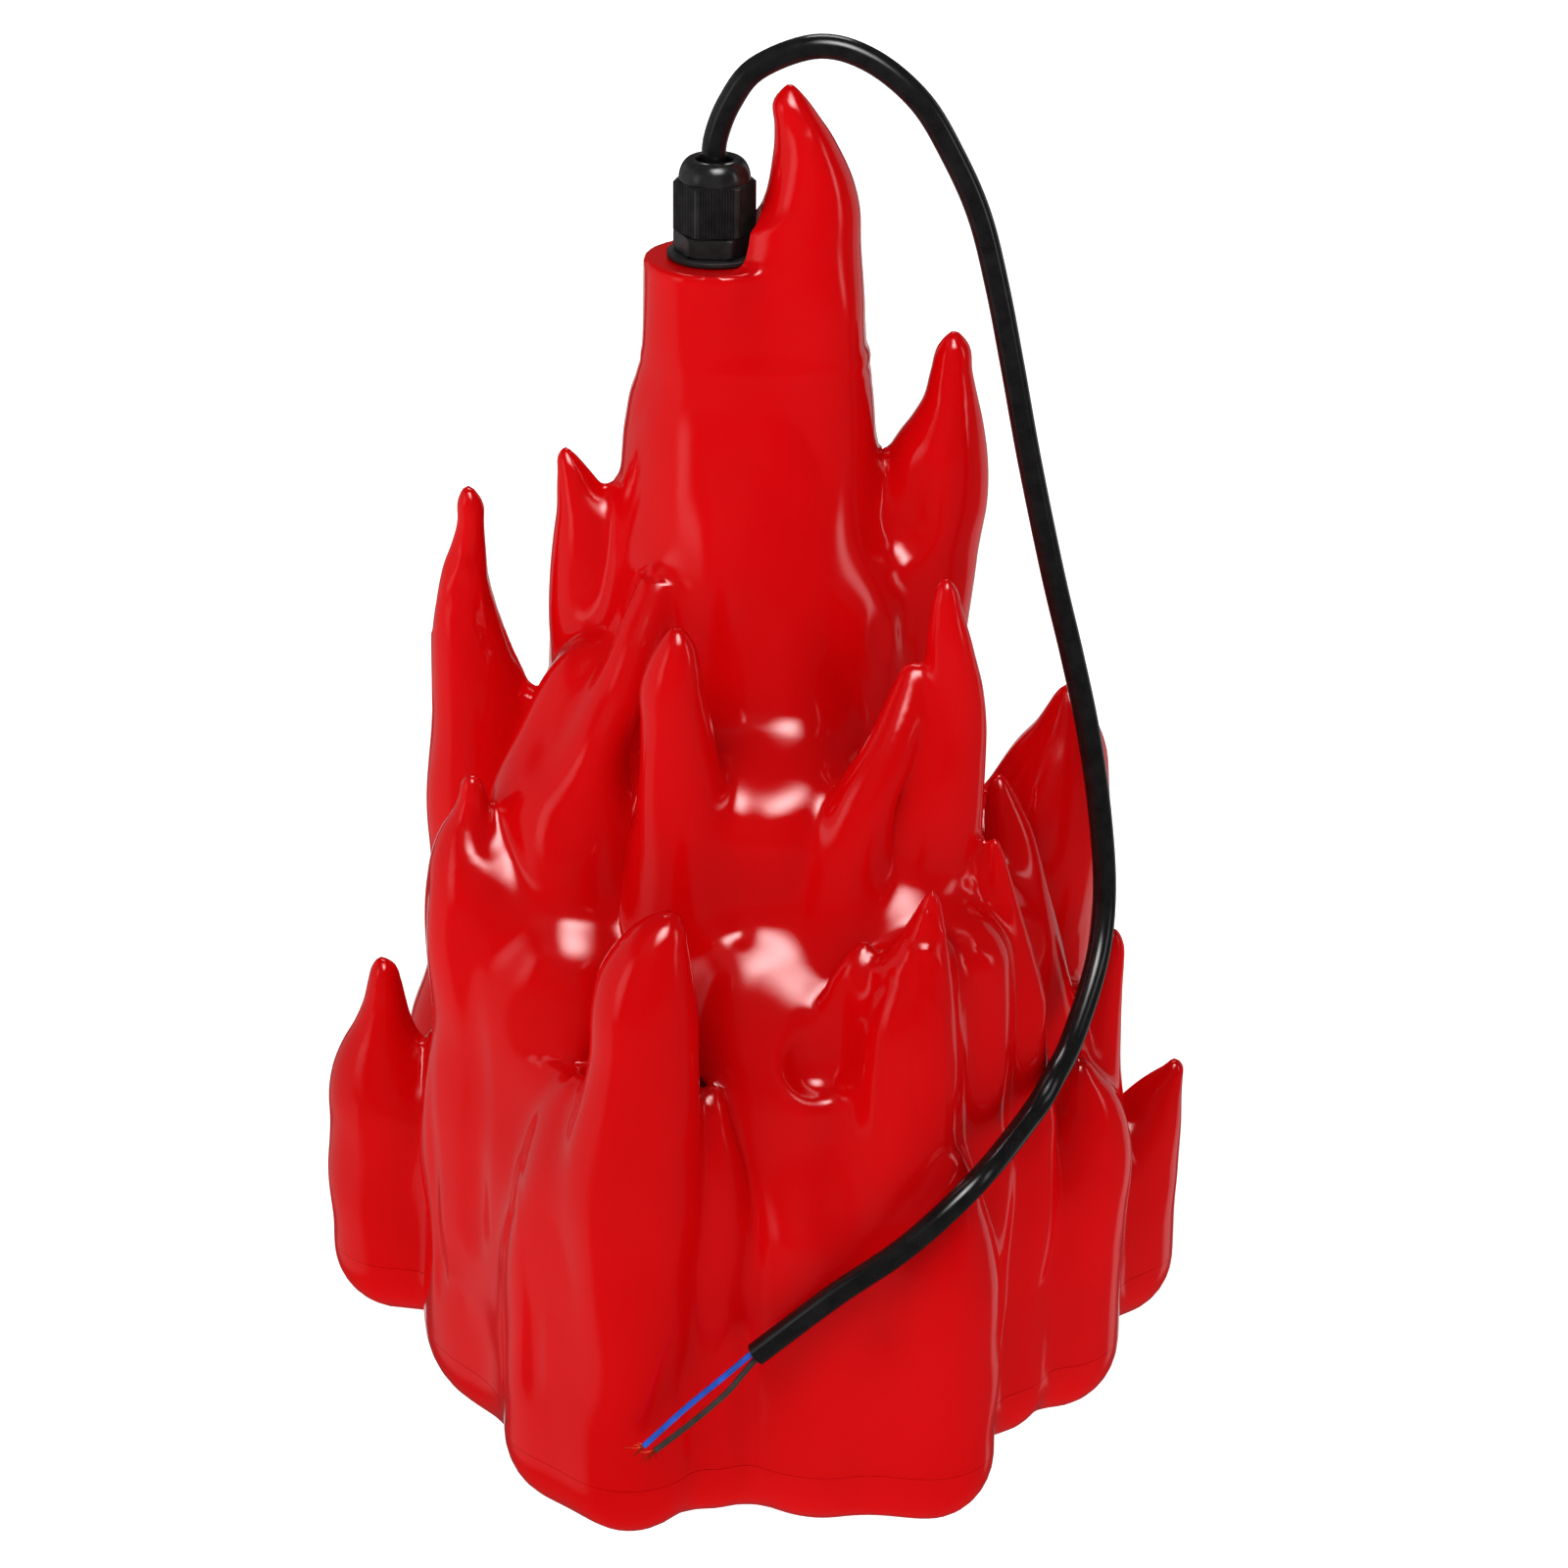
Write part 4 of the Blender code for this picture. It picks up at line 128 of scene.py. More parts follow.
# Tongues of flame, each from its tip down to its foot. A row is x, y, height and radius there.
# Below its last row a tongue runs straight down to the ground.
TONGUES = metres({
    "crest": (
        (68, 0, 3700, 0), (74, 0, 3662, 40), (98, 0, 3596, 69), (116, 0, 3524, 89), (126, 0, 3451, 106),
        (124, 0, 3378, 123), (107, 0, 3286, 144), (105, 0, 3100, 162),
    ),
    "right_high": (
        (509, 40, 3027, 0), (509, 40, 2997, 26), (504, 40, 2921, 45), (500, 40, 2845, 62), (490, 40, 2795, 80),
        (471, 40, 2723, 107), (455, 40, 2584, 127), (415, 40, 2400, 155),
    ),
    "left_high": (
        (-519, 40, 2699, 0), (-512, 40, 2669, 24), (-498, 40, 2627, 41), (-489, 40, 2586, 53), (-474, 40, 2530, 71),
        (-465, 40, 2443, 96), (-455, 40, 2289, 120), (-430, 40, 2000, 150),
    ),
    "left_tall": (
        (-784, 80, 2564, 0), (-778, 80, 2525, 28), (-777, 80, 2463, 40), (-785, 80, 2400, 55), (-795, 80, 2343, 70),
        (-800, 80, 2263, 87), (-793, 80, 2153, 110), (-775, 80, 2037, 132), (-760, 80, 1500, 145),
    ),
    "right_tall": (
        (849, 40, 2023, 0), (853, 40, 1994, 24), (857, 40, 1953, 48), (854, 40, 1900, 75), (838, 40, 1835, 115),
        (812, 40, 1722, 155), (770, 60, 1100, 180),
    ),
    "right_short": (
        (981, -200, 1396, 0), (983, -200, 1359, 19), (978, -200, 1299, 38), (962, -200, 1207, 62),
        (935, -200, 1084, 95), (840, -200, 850, 180),
    ),
    "front_left_ridge": (
        (-205, -600, 2449, 0), (-203, -600, 2422, 22), (-205, -600, 2384, 43), (-211, -600, 2334, 61),
        (-214, -600, 2274, 77), (-205, -600, 2184, 91), (-195, -600, 2031, 102), (-190, -580, 1500, 106),
    ),
    "front_right_fin": (
        (486, -480, 2539, 0), (488, -480, 2506, 19), (489, -480, 2452, 34), (495, -480, 2389, 48),
        (503, -480, 2320, 57), (509, -480, 2251, 69), (502, -480, 2154, 92), (476, -480, 2027, 126),
        (455, -480, 1871, 150), (420, -460, 1200, 155),
    ),
    "fin_fold": (
        (400, -490, 2300, 0), (385, -520, 2215, 30), (340, -580, 2090, 46), (284, -620, 1976, 56),
        (240, -620, 1800, 80),
    ),
    "left_fold": (
        (-265, -260, 2440, 0), (-290, -300, 2330, 45), (-345, -360, 2180, 70), (-423, -420, 2016, 90),
        (-470, -460, 1750, 120),
    ),
    "left_front_lick": (
        (-749, -450, 1960, 0), (-747, -450, 1935, 18), (-746, -450, 1892, 27), (-751, -450, 1846, 41),
        (-754, -450, 1798, 66), (-741, -450, 1737, 102), (-715, -450, 1639, 148), (-680, -420, 1200, 172),
    ),
    "front_left_lobe": (
        (-460, -900, 1290, 0), (-465, -900, 1220, 45), (-478, -910, 1120, 85), (-490, -910, 1000, 122),
        (-500, -910, 700, 145),
    ),
    "front_left": (
        (-206, -990, 1819, 0), (-219, -990, 1792, 36), (-243, -1000, 1744, 68), (-262, -1010, 1680, 100),
        (-275, -1020, 1595, 125), (-282, -1020, 1436, 141), (-292, -1020, 1313, 155), (-306, -1010, 1188, 172),
        (-318, -1010, 850, 188),
    ),
    "front_left_small": (
        (-104, -940, 1306, 0), (-105, -950, 1277, 17), (-106, -960, 1207, 34), (-104, -970, 1060, 66),
        (-98, -980, 890, 94), (-90, -980, 500, 110),
    ),
    "front_right": (
        (458, -860, 1851, 0), (455, -860, 1823, 24), (449, -860, 1772, 46), (435, -870, 1705, 72),
        (419, -880, 1605, 104), (409, -890, 1491, 130), (405, -890, 1370, 142), (385, -880, 1000, 152),
    ),
    "front_right_low": (
        (520, -950, 1120, 0), (520, -950, 1060, 50), (505, -960, 950, 105), (490, -960, 700, 165),
    ),
    "mid_fold": (
        (289, -830, 1670, 0), (280, -840, 1633, 22), (252, -860, 1541, 42), (238, -870, 1438, 52),
        (250, -850, 1316, 50), (260, -820, 1100, 80),
    ),
    "right_front": (
        (890, -440, 1110, 0), (897, -440, 1062, 26), (902, -430, 1013, 55), (895, -420, 955, 88), (880, -410, 859, 130),
        (840, -390, 700, 188),
    ),
    "right_front_small": (
        (632, -560, 1845, 0), (642, -560, 1770, 26), (670, -570, 1600, 50), (700, -580, 1265, 80),
        (690, -580, 850, 125),
    ),
    "right_tall_fold": (
        (655, -180, 1850, 0), (672, -200, 1742, 42), (705, -230, 1600, 65), (735, -280, 1400, 90),
        (760, -320, 1100, 120),
    ),
    "far_left": (
        (-1066, 90, 1134, 0), (-1061, 90, 1109, 26), (-1060, 90, 1059, 45), (-1062, 90, 996, 60), (-1069, 90, 932, 80),
        (-1074, 90, 869, 106), (-1066, 90, 805, 136), (-1038, 90, 709, 182), (-1024, 100, 600, 198),
    ),
    "far_right": (
        (1205, 80, 836, 0), (1200, 80, 810, 18), (1180, 80, 778, 42), (1152, 80, 729, 73), (1111, 80, 648, 118),
        (1036, 90, 500, 190),
    ),
    "back_right_low": (
        (930, 580, 1060, 0), (930, 580, 1000, 38), (910, 590, 900, 85), (870, 600, 790, 145), (840, 600, 600, 198),
    ),
    "back_right": (
        (380, 960, 1480, 0), (390, 960, 1410, 38), (425, 950, 1290, 78), (460, 930, 1160, 122), (480, 920, 850, 198),
    ),
    "back_low": (
        (130, 1030, 1140, 0), (120, 1030, 1070, 40), (80, 1020, 960, 90), (50, 1017, 800, 140), (40, 1017, 550, 188),
    ),
    "back_left": (
        (-520, 940, 1620, 0), (-505, 950, 1550, 36), (-460, 960, 1430, 76), (-430, 950, 1270, 125),
        (-420, 940, 900, 198),
    ),
    "back_left_low": (
        (-900, 600, 1220, 0), (-890, 600, 1150, 40), (-860, 590, 1040, 88), (-840, 580, 900, 140),
        (-840, 580, 650, 198),
    ),
    "back_right_tall": (
        (500, 520, 2120, 0), (495, 530, 2050, 34), (465, 540, 1920, 66), (430, 530, 1760, 110), (420, 520, 1350, 170),
    ),
    "back_mid": (
        (-80, 700, 2360, 0), (-70, 710, 2280, 36), (-30, 710, 2140, 72), (10, 700, 1960, 112), (0, 680, 1500, 165),
    ),
    "back_left_tall": (
        (-490, 550, 2200, 0), (-500, 550, 2130, 34), (-505, 540, 1990, 70), (-480, 520, 1820, 115),
        (-460, 500, 1400, 172),
    ),
    "back_high": (
        (-60, 400, 2960, 0), (-70, 410, 2880, 36), (-110, 410, 2740, 70), (-140, 390, 2560, 108),
        (-120, 360, 2200, 158),
    ),
    "column": (
        (0, 100, 3040, 0), (-20, 100, 2985, 195), (-35, 110, 2930, 258), (-45, 110, 2870, 292), (-52, 90, 2750, 318),
        (-52, 40, 2550, 327), (-40, -10, 2174, 337), (-10, -40, 1700, 370),
    ),
})
# How wide the valley is where these join what is beside them, instead of the usual width
VALLEYS = metres({
    "crest": 120, "column": 100, "fin_fold": 70, "left_fold": 60, "mid_fold": 60, "front_left_small": 50,
    "front_left_lobe": 200, "right_front_small": 50,
})
# Rounded swellings without a tip: x, y, radius, top z, height of the dome
SWELLS = metres({
    "left_front_body": (-490, -530, 260, 1620, 320),
    "left_shelf": (-500, -320, 220, 2040, 300),
    "left_slope": (-450, -200, 160, 2240, 320),
    "left_base": (-680, -280, 230, 1220, 340),
    "shelf_upper": (30, -360, 310, 2070, 240),
    "shelf_lower": (330, -520, 260, 1760, 220),
    "front_slope": (-20, -640, 250, 1600, 240),
    "front_middle": (130, -770, 200, 1410, 220),
    "front_wall": (200, -860, 270, 1040, 360),
    "right_slope": (580, -340, 220, 1640, 320),
    "right_nub": (555, -700, 120, 1680, 140),
    "right_base": (800, -100, 220, 1120, 340),
    "column_skirt": (140, -80, 260, 2580, 400),
    "back_swell": (60, 620, 340, 1700, 400),
    "back_slope": (0, 300, 360, 2360, 500),
})
# Hollows between the licks of flame, open upwards: x, y, height of the bottom, radius, depth of the bowl
SCOOPS = metres({
    "left_high": (-497, -287, 2281, 60, 60),
    "right_lens": (366, -302, 2217, 55, 80),
    "right_thin": (414, -206, 2238, 32, 40),
    "middle": (172, -950, 1262, 100, 120),
    "right_basin": (395, -170, 2440, 100, 120),
    "small_dip": (-42, -748, 1610, 45, 50),
    "nub": (557, -808, 1637, 34, 40),
    "small_nub": (621, -768, 1644, 26, 50),
    "lick": (-692, -559, 1756, 55, 80),
    "left_fork": (-495, -612, 1826, 36, 60),
    "left_long": (-796, -698, 576, 90, 140),
    "low_front": (357, -1168, 582, 70, 100),
    "lobe_crease": (-601, -1072, 393, 45, 100),
    "left_crease": (-896, -523, 389, 40, 100),
})
# The round core that the tongues grow out of
CORE = metres({
    "height": (0, 500, 850, 1100, 1400, 1700, 2000, 2300, 2600, 2900, 3300),
    "radius": (920, 900, 840, 760, 660, 560, 460, 340, 240, 150, 60),
})

# The free lead's route, from inside the gland to the cut end of the sheath
LEAD_ROUTE = (
    (-0.0123, 0.0000, 0.3480), (-0.0122, 0.0000, 0.3550), (-0.0085, 0.0000, 0.3650),
    (-0.0015, 0.0000, 0.3740), (0.0135, -0.0010, 0.3800), (0.0270, -0.0020, 0.3770),
    (0.0400, -0.0040, 0.3670), (0.0490, -0.0060, 0.3530), (0.0560, -0.0080, 0.3380),
    (0.0610, -0.0100, 0.3200), (0.0655, -0.0120, 0.2995), (0.0710, -0.0140, 0.2730),
    (0.0780, -0.0170, 0.2430), (0.0840, -0.0180, 0.2200), (0.0890, -0.0200, 0.1990),
    (0.0930, -0.0220, 0.1760), (0.0950, -0.0260, 0.1540), (0.0930, -0.0360, 0.1380),
    (0.0859, -0.0541, 0.1236), (0.0801, -0.0671, 0.1185), (0.0740, -0.0770, 0.1130),
    (0.0591, -0.1024, 0.1075), (0.0411, -0.1133, 0.0943), (0.0220, -0.1162, 0.0805),
    (0.0020, -0.1170, 0.0630),
)
# How the bare cores run on from the cut sheath to their tips
BLUE_CORE_ROUTE = ((-0.0070, -0.1205, 0.0575), (-0.0165, -0.1235, 0.0500), (-0.0270, -0.1250, 0.0395))
BROWN_CORE_ROUTE = ((-0.0055, -0.1215, 0.0540), (-0.0140, -0.1240, 0.0468), (-0.0240, -0.1255, 0.0385))


# The flame as a field: negative inside, zero on the surface, about one metre per metre outside


def blend(a, b, width):
    """The lower of two fields, with a rounded valley where they meet."""
    share = np.clip(0.5 + 0.5 * (b - a) / width, 0, 1)
    return b + (a - b) * share - width * share * (1 - share)


def along_tongue(rows):
    """A tongue's centre, radius and slant at even heights, on a smooth curve through its rows."""
    x, y, z, radius = np.array(rows[::-1]).T
    heights = np.linspace(z[0], z[-1], 160)
    index = np.clip(np.searchsorted(z, heights, side="right") - 1, 0, len(z) - 2)
    span = z[index + 1] - z[index]
    t = (heights - z[index]) / span
    lines = []
    for values in (x, y, radius):
        slope = np.gradient(values, z)
        slope[0] = 0.0
        start, end = values[index], values[index + 1]
        rise = (1 + 2 * t) * (1 - t) ** 2 * start + t**2 * (3 - 2 * t) * end
        lines.append(rise + t * (1 - t) * span * ((1 - t) * slope[index] - t * slope[index + 1]))
    slant = np.abs(np.gradient(lines[2], heights)) + 0.5 * np.abs(np.gradient(lines[0], heights))
    return heights, *lines, np.minimum(slant, 2.0)


def tongue_field(x, y, z, line):
    """Distance to a tongue, whose line comes from along_tongue."""
    heights, centre_x, centre_y, radii, slants = line
    below_tip = heights[-1] - z
    body = np.interp(z, heights, radii) + DRAFT * np.maximum(heights[0] - z, 0)
    nose = TIP_RADIUS**2 * (1 - np.exp(-np.maximum(below_tip, 0) / TIP_RADIUS))
    radius = np.sqrt(nose + body**2)
    slope = np.interp(z, heights, slants) + DRAFT
    away = np.hypot(x - np.interp(z, heights, centre_x), y - np.interp(z, heights, centre_y))
    return np.where(below_tip < 0, np.hypot(away, below_tip), (away - radius) / np.sqrt(1 + slope**2))


def swell_field(x, y, z, swell):
    """Distance to an upright round swelling with a domed top."""
    centre_x, centre_y, radius, top, dome = swell
    above = np.maximum(z - (top - dome), 0) * radius / dome
    away = np.hypot(np.hypot(x - centre_x, y - centre_y), above)
    return away - radius - DRAFT * np.maximum(top - dome - z, 0)


def scoop_field(x, y, z, scoop):
    """Distance to an upright round hollow with a bowl at its bottom."""
    centre_x, centre_y, bottom, radius, bowl = scoop
    below = np.maximum(bottom + bowl - z, 0) * radius / bowl
    return np.hypot(np.hypot(x - centre_x, y - centre_y), below) - radius


def core_field(x, y, z):
    """Distance to the round core."""
    heights, radii = CORE["height"], CORE["radius"]
    radius = np.interp(z, heights, radii)
    slope = (np.interp(z + 0.001, heights, radii) - np.interp(z - 0.001, heights, radii)) / 0.002
    return np.maximum((np.hypot(x, y) - radius) / np.sqrt(1 + slope**2), z - heights[-1])


def neck_field(x, y, z):
    """Distance to the flat-topped neck, in real sizes."""
    radius = NECK_RADIUS + NECK_DRAFT * np.maximum(NECK_TOP - z, 0) - NECK_EDGE
    out = np.hypot(x - NECK_X, y - NECK_Y) - radius
    up = z - NECK_TOP + NECK_EDGE
    return np.minimum(np.maximum(out, up), 0) + np.hypot(np.maximum(out, 0), np.maximum(up, 0)) - NECK_EDGE


LINES = {name: along_tongue(rows) for name, rows in TONGUES.items()}


def flame_field(x, y, z):
    """The whole flame, at real x, y, z. The drawn shapes are stretched to the overall sizes."""
    wide, high = FLAME_WIDTH / DRAWN_WIDTH, FLAME_HEIGHT / DRAWN_HEIGHT
    dx, dy, dz = x / wide, y / wide, z / high
    field = core_field(dx, dy, dz)
    reach = 0.026

    def join(near, value, width):
        field[near] = blend(field[near], value, width)

    for swell in SWELLS.values():
        near = (np.hypot(dx - swell[0], dy - swell[1]) < swell[2] + reach) & (dz < swell[3] + reach)
        if near.any():
            join(near, swell_field(dx[near], dy[near], dz[near], swell), SWELL_BLEND)
    for name, rows in TONGUES.items():
        tip, foot = rows[0], rows[-1]
        lean = math.hypot(tip[0] - foot[0], tip[1] - foot[1])
        near = (np.hypot(dx - foot[0], dy - foot[1]) < foot[3] + lean + reach) & (dz < tip[2] + reach)
        if not near.any():
            continue
        up = np.clip((dz[near] - foot[2]) / (tip[2] - foot[2]), 0, 1)
        width = VALLEYS.get(name, FOOT_BLEND + (TIP_BLEND - FOOT_BLEND) * up)
        join(near, tongue_field(dx[near], dy[near], dz[near], LINES[name]), width)
    for scoop in SCOOPS.values():
        near = (np.hypot(dx - scoop[0], dy - scoop[1]) < scoop[3] + reach) & (dz > scoop[2] - reach)
        if near.any():
            hollow = scoop_field(dx[near], dy[near], dz[near], scoop)
            field[near] = -blend(-field[near], hollow, SCOOP_BLEND)
    field *= min(wide, high)
    near = (np.hypot(x - NECK_X, y - NECK_Y) < 2 * NECK_RADIUS) & (z > NECK_TOP - 4.5 * NECK_RADIUS)
    if near.any():
        up = np.clip((z[near] - NECK_TOP) / NECK_RADIUS + 1.08, 0, 1)
        width = NECK_BLEND + (NECK_TOP_BLEND - NECK_BLEND) * up * up * (3 - 2 * up)
        join(near, neck_field(x[near], y[near], z[near]), width)
    return field


def flame_at(points):
    """The field at an array of points."""
    return flame_field(points[:, 0].copy(), points[:, 1].copy(), points[:, 2].copy())


def band_values(x, y, z, coarse, ratio, step):
    """The field on the fine grid, worked out only near the surface that the coarse grid shows."""
    near = coarse
    for axis in range(3):
        near = np.repeat(near, ratio, axis=axis)
    near = near[: len(x), : len(y), : len(z)]
    values = np.clip(near, -1, 1)
    reach = 1.4 * ratio * step
    i, j, k = np.nonzero(np.abs(near) < reach)
    for part in np.array_split(np.arange(len(i)), 1 + len(i) // 400000):
        values[i[part], j[part], k[part]] = flame_field(x[i[part]], y[j[part]], z[k[part]])
    return values


def flame_points(step, low, ratio=4):
    """Points, triangles and quads of the closed flame surface, from a height up."""
    half = FLAME_WIDTH / 2 + 6 * step
    count = ratio * int(math.ceil(2 * half / step / ratio))
    x = (np.arange(count) - (count - 1) / 2) * step
    floor = int(math.floor(low / step)) - 2
    z = (floor + np.arange(ratio * int(math.ceil((FLAME_HEIGHT - low) / step / ratio + 2)))) * step
    middle = (ratio - 1) / 2 * step
    cx, cz = x[::ratio] + middle, z[::ratio] + middle
    grid = np.meshgrid(cx, cx, cz, indexing="ij")
    coarse = flame_field(*(g.ravel() for g in grid)).reshape(grid[0].shape)
    values = band_values(x, x, z, coarse, ratio, step)
    values = np.maximum(values, low - z[None, None, :])
    level = openvdb.FloatGrid(1.0)
    level.copyFromArray(values.astype(np.float32))
    points, triangles, quads = level.convertToPolygons(isovalue=0.0, adaptivity=0.0)
    points = points.astype(float) * step + np.array((x[0], x[0], z[0]))
    return settle(points, low + step, step), triangles, quads


def settle(points, low, limit):
    """Move the points above a height exactly onto the flame's surface."""
    probe = 0.0001
    moving = (points[:, 2] > low)[:, None]
    for _ in range(2):
        value = flame_at(points)
        ahead = [flame_at(points + probe * axis) for axis in np.eye(3)]
        slope = np.stack([(a - value) / probe for a in ahead], -1)
        step = value[:, None] * slope / np.maximum((slope**2).sum(1, keepdims=True), 0.05)
        points = points - np.clip(step, -limit, limit) * moving
    return points


def inner_surface(step, low, inset):
    """The surface a wall's thickness inside the flame."""
    points, triangles, quads = flame_points(step, low)
    level = openvdb.FloatGrid.createLevelSetFromPolygons(
        points.astype(np.float32),
        triangles=triangles,
        quads=quads,
        transform=openvdb.createLinearTransform(voxelSize=step),
        halfWidth=inset / step + 3,
    )
    return level.convertToPolygons(isovalue=-inset, adaptivity=0.0)


def eased(values, low, high):
    """0 below low, 1 above high, and a smooth step between."""
    share = np.clip((values - low) / (high - low), 0, 1)
    return share * share * (3 - 2 * share)


def moulded(points, cavity):
    """The flame's points with the moulding's soft swells, but not where the joint, the gland or the lead is."""
    inside, triangles, quads = cavity
    tree = BVHTree.FromPolygons(inside.tolist(), [*triangles.tolist(), *quads.tolist()])
    wall = np.array([tree.find_nearest(point)[3] for point in points.tolist()])
    probe = 0.0002
    slope = np.stack([flame_at(points + probe * axis) - flame_at(points - probe * axis) for axis in np.eye(3)], -1)
    outward = slope / np.maximum(np.linalg.norm(slope, axis=1, keepdims=True), 1e-9)
    swell = MOULD_DEPTH * np.array([
        sum(
            share * random_field.noise((x * scale, y * scale, z * scale * MOULD_UPRIGHT))
            for scale, share in MOULD_WAVES
        )
        for x, y, z in points.tolist()
    ])
    to_lead = np.full(len(points), np.inf)
    for place in smooth_route(LEAD_ROUTE, 0.004):
        to_lead = np.minimum(to_lead, np.linalg.norm(points - np.array(place), axis=1))
    to_neck = np.linalg.norm(points - np.array((NECK_X, NECK_Y, NECK_TOP)), axis=1)
    free = eased(points[:, 2], *JOINT_FADE) * eased(to_neck, *NECK_FADE) * eased(to_lead, *LEAD_FADE)
    return points + (free * np.maximum(swell, THIN_WALL - wall))[:, None] * outward


# Making objects


def add_object(name, data):
    """Put data in the scene as one object."""
    obj = bpy.data.objects.new(name, data)
    bpy.context.scene.collection.objects.link(obj)
    return obj


def from_surface(name, surface):
    """A mesh object from openvdb's points, triangles and quads."""
    points, triangles, quads = surface
    mesh = bpy.data.meshes.new(name)
    corners = np.concatenate([triangles.ravel(), quads.ravel()]).astype(np.int32)
    starts = np.concatenate([
        3 * np.arange(len(triangles)), 3 * len(triangles) + 4 * np.arange(len(quads)),
    ]).astype(np.int32)
    mesh.vertices.add(len(points))
    mesh.vertices.foreach_set("co", points.astype(np.float32).ravel())
    mesh.loops.add(len(corners))
    mesh.loops.foreach_set("vertex_index", corners)
    mesh.polygons.add(len(starts))
    mesh.polygons.foreach_set("loop_start", starts)
    mesh.update(calc_edges=True)
    mesh.validate()
    return add_object(name, mesh)


def from_bmesh(name, bm):
    """A mesh object from a bmesh, with its faces turned outwards."""
    bmesh.ops.recalc_face_normals(bm, faces=bm.faces)
    mesh = bpy.data.meshes.new(name)
    bm.to_mesh(mesh)
    bm.free()
    return add_object(name, mesh)


def smooth(obj, degrees):
    """Smooth shading, kept sharp where faces meet at more than this angle."""
    obj.data.shade_smooth()
    obj.data.set_sharp_from_angle(angle=math.radians(degrees))


def paint(obj, material):
    """Give an object this one material."""
    obj.data.materials.clear()
    obj.data.materials.append(material)


def with_tools(obj, *tools):
    """Apply Booleans with each (operation, other) to the object. The others then go away."""
    for operation, other in tools:
        modifier = obj.modifiers.new(operation, "BOOLEAN")
        modifier.operation = operation
        modifier.solver = "MANIFOLD"
        modifier.object = other
    seen = obj.evaluated_get(bpy.context.evaluated_depsgraph_get())
    mesh = bpy.data.meshes.new_from_object(seen)
    obj.modifiers.clear()
    obj.data = mesh
    for _, other in tools:
        bpy.data.objects.remove(other)


def turned(name, profile, x=0.0, y=0.0, segments=96):
    """Spin a closed (radius, height) profile about an upright axis at x, y."""
    bm = bmesh.new()
    count = len(profile)
    verts = [bm.verts.new((r, 0.0, z)) for r, z in profile]
    on_axis = [r < 1e-7 for r, _ in profile]
    edges = []
    for i in range(count):
        if not (on_axis[i] and on_axis[(i + 1) % count]):
            edges.append(bm.edges.new((verts[i], verts[(i + 1) % count])))
    bmesh.ops.spin(
        bm, geom=verts + edges, cent=(0, 0, 0), axis=(0, 0, 1), angle=2 * math.pi, steps=segments, use_merge=True
    )
    bmesh.ops.remove_doubles(bm, verts=bm.verts, dist=1e-6)
    bmesh.ops.translate(bm, verts=bm.verts, vec=(x, y, 0.0))
    return from_bmesh(name, bm)


def prism(name, outline, low, high):
    """An upright prism from a list of (x, y) corners."""
    bm = bmesh.new()
    face = bm.faces.new([bm.verts.new((x, y, low)) for x, y in outline])
    top = bmesh.ops.extrude_face_region(bm, geom=[face])["geom"]
    moved = [g for g in top if isinstance(g, bmesh.types.BMVert)]
    bmesh.ops.translate(bm, verts=moved, vec=(0, 0, high - low))
    return from_bmesh(name, bm)


def smooth_route(points, step):
    """Points at even steps along a smooth curve through the given points."""
    path = [Vector(p) for p in points]
    padded = [2 * path[0] - path[1]] + path + [2 * path[-1] - path[-2]]
    dense = []
    for a, b, c, d in zip(padded, padded[1:], padded[2:], padded[3:]):
        for k in range(40):
            t = k / 40
            dense.append(
                0.5 * (2 * b + (c - a) * t + (2 * a - 5 * b + 4 * c - d) * t**2 + (3 * b - a - 3 * c + d) * t**3)
            )
    dense.append(path[-1])
    lengths = [0.0]
    for a, b in zip(dense, dense[1:]):
        lengths.append(lengths[-1] + (b - a).length)
    count = max(2, round(lengths[-1] / step))
    even = []
    i = 1
    for k in range(count + 1):
        target = lengths[-1] * k / count
        while lengths[i] < target - 1e-9:
            i += 1
        span = lengths[i] - lengths[i - 1]
        even.append(dense[i - 1].lerp(dense[i], (target - lengths[i - 1]) / span))
    return even


def tubes(name, routes, radius, around):
    """A curve object of round tubes with filled ends, one along each route."""
    curve = bpy.data.curves.new(name, "CURVE")
    curve.dimensions = "3D"
    curve.bevel_depth = radius
    curve.bevel_resolution = around
    curve.use_fill_caps = True
    for route in routes:
        spline = curve.splines.new("POLY")
        spline.points.add(len(route) - 1)
        for point, place in zip(spline.points, route):
            point.co = (*place, 1.0)
    return add_object(name, curve)


# The camera


def build_camera():
    """Look from where the photograph was taken."""
    down, roll = math.radians(CAMERA_DOWN), math.radians(CAMERA_ROLL)
    ahead = Vector((0, math.cos(down), -math.sin(down)))
    right, up = Vector((1, 0, 0)), Vector((0, math.sin(down), math.cos(down)))
    tilted = (math.cos(roll) * right + math.sin(roll) * up, math.cos(roll) * up - math.sin(roll) * right)
    data = bpy.data.cameras.new("camera")
    data.sensor_width = CAMERA_SENSOR
    data.lens = CAMERA_LENS
    camera = add_object("camera", data)
    camera.matrix_world = Matrix.Translation(CAMERA_PLACE) @ Matrix((
        (tilted[0].x, tilted[1].x, -ahead.x, 0),
        (tilted[0].y, tilted[1].y, -ahead.y, 0),
        (tilted[0].z, tilted[1].z, -ahead.z, 0),
        (0, 0, 0, 1),
    ))
    bpy.context.scene.camera = camera


# Materials


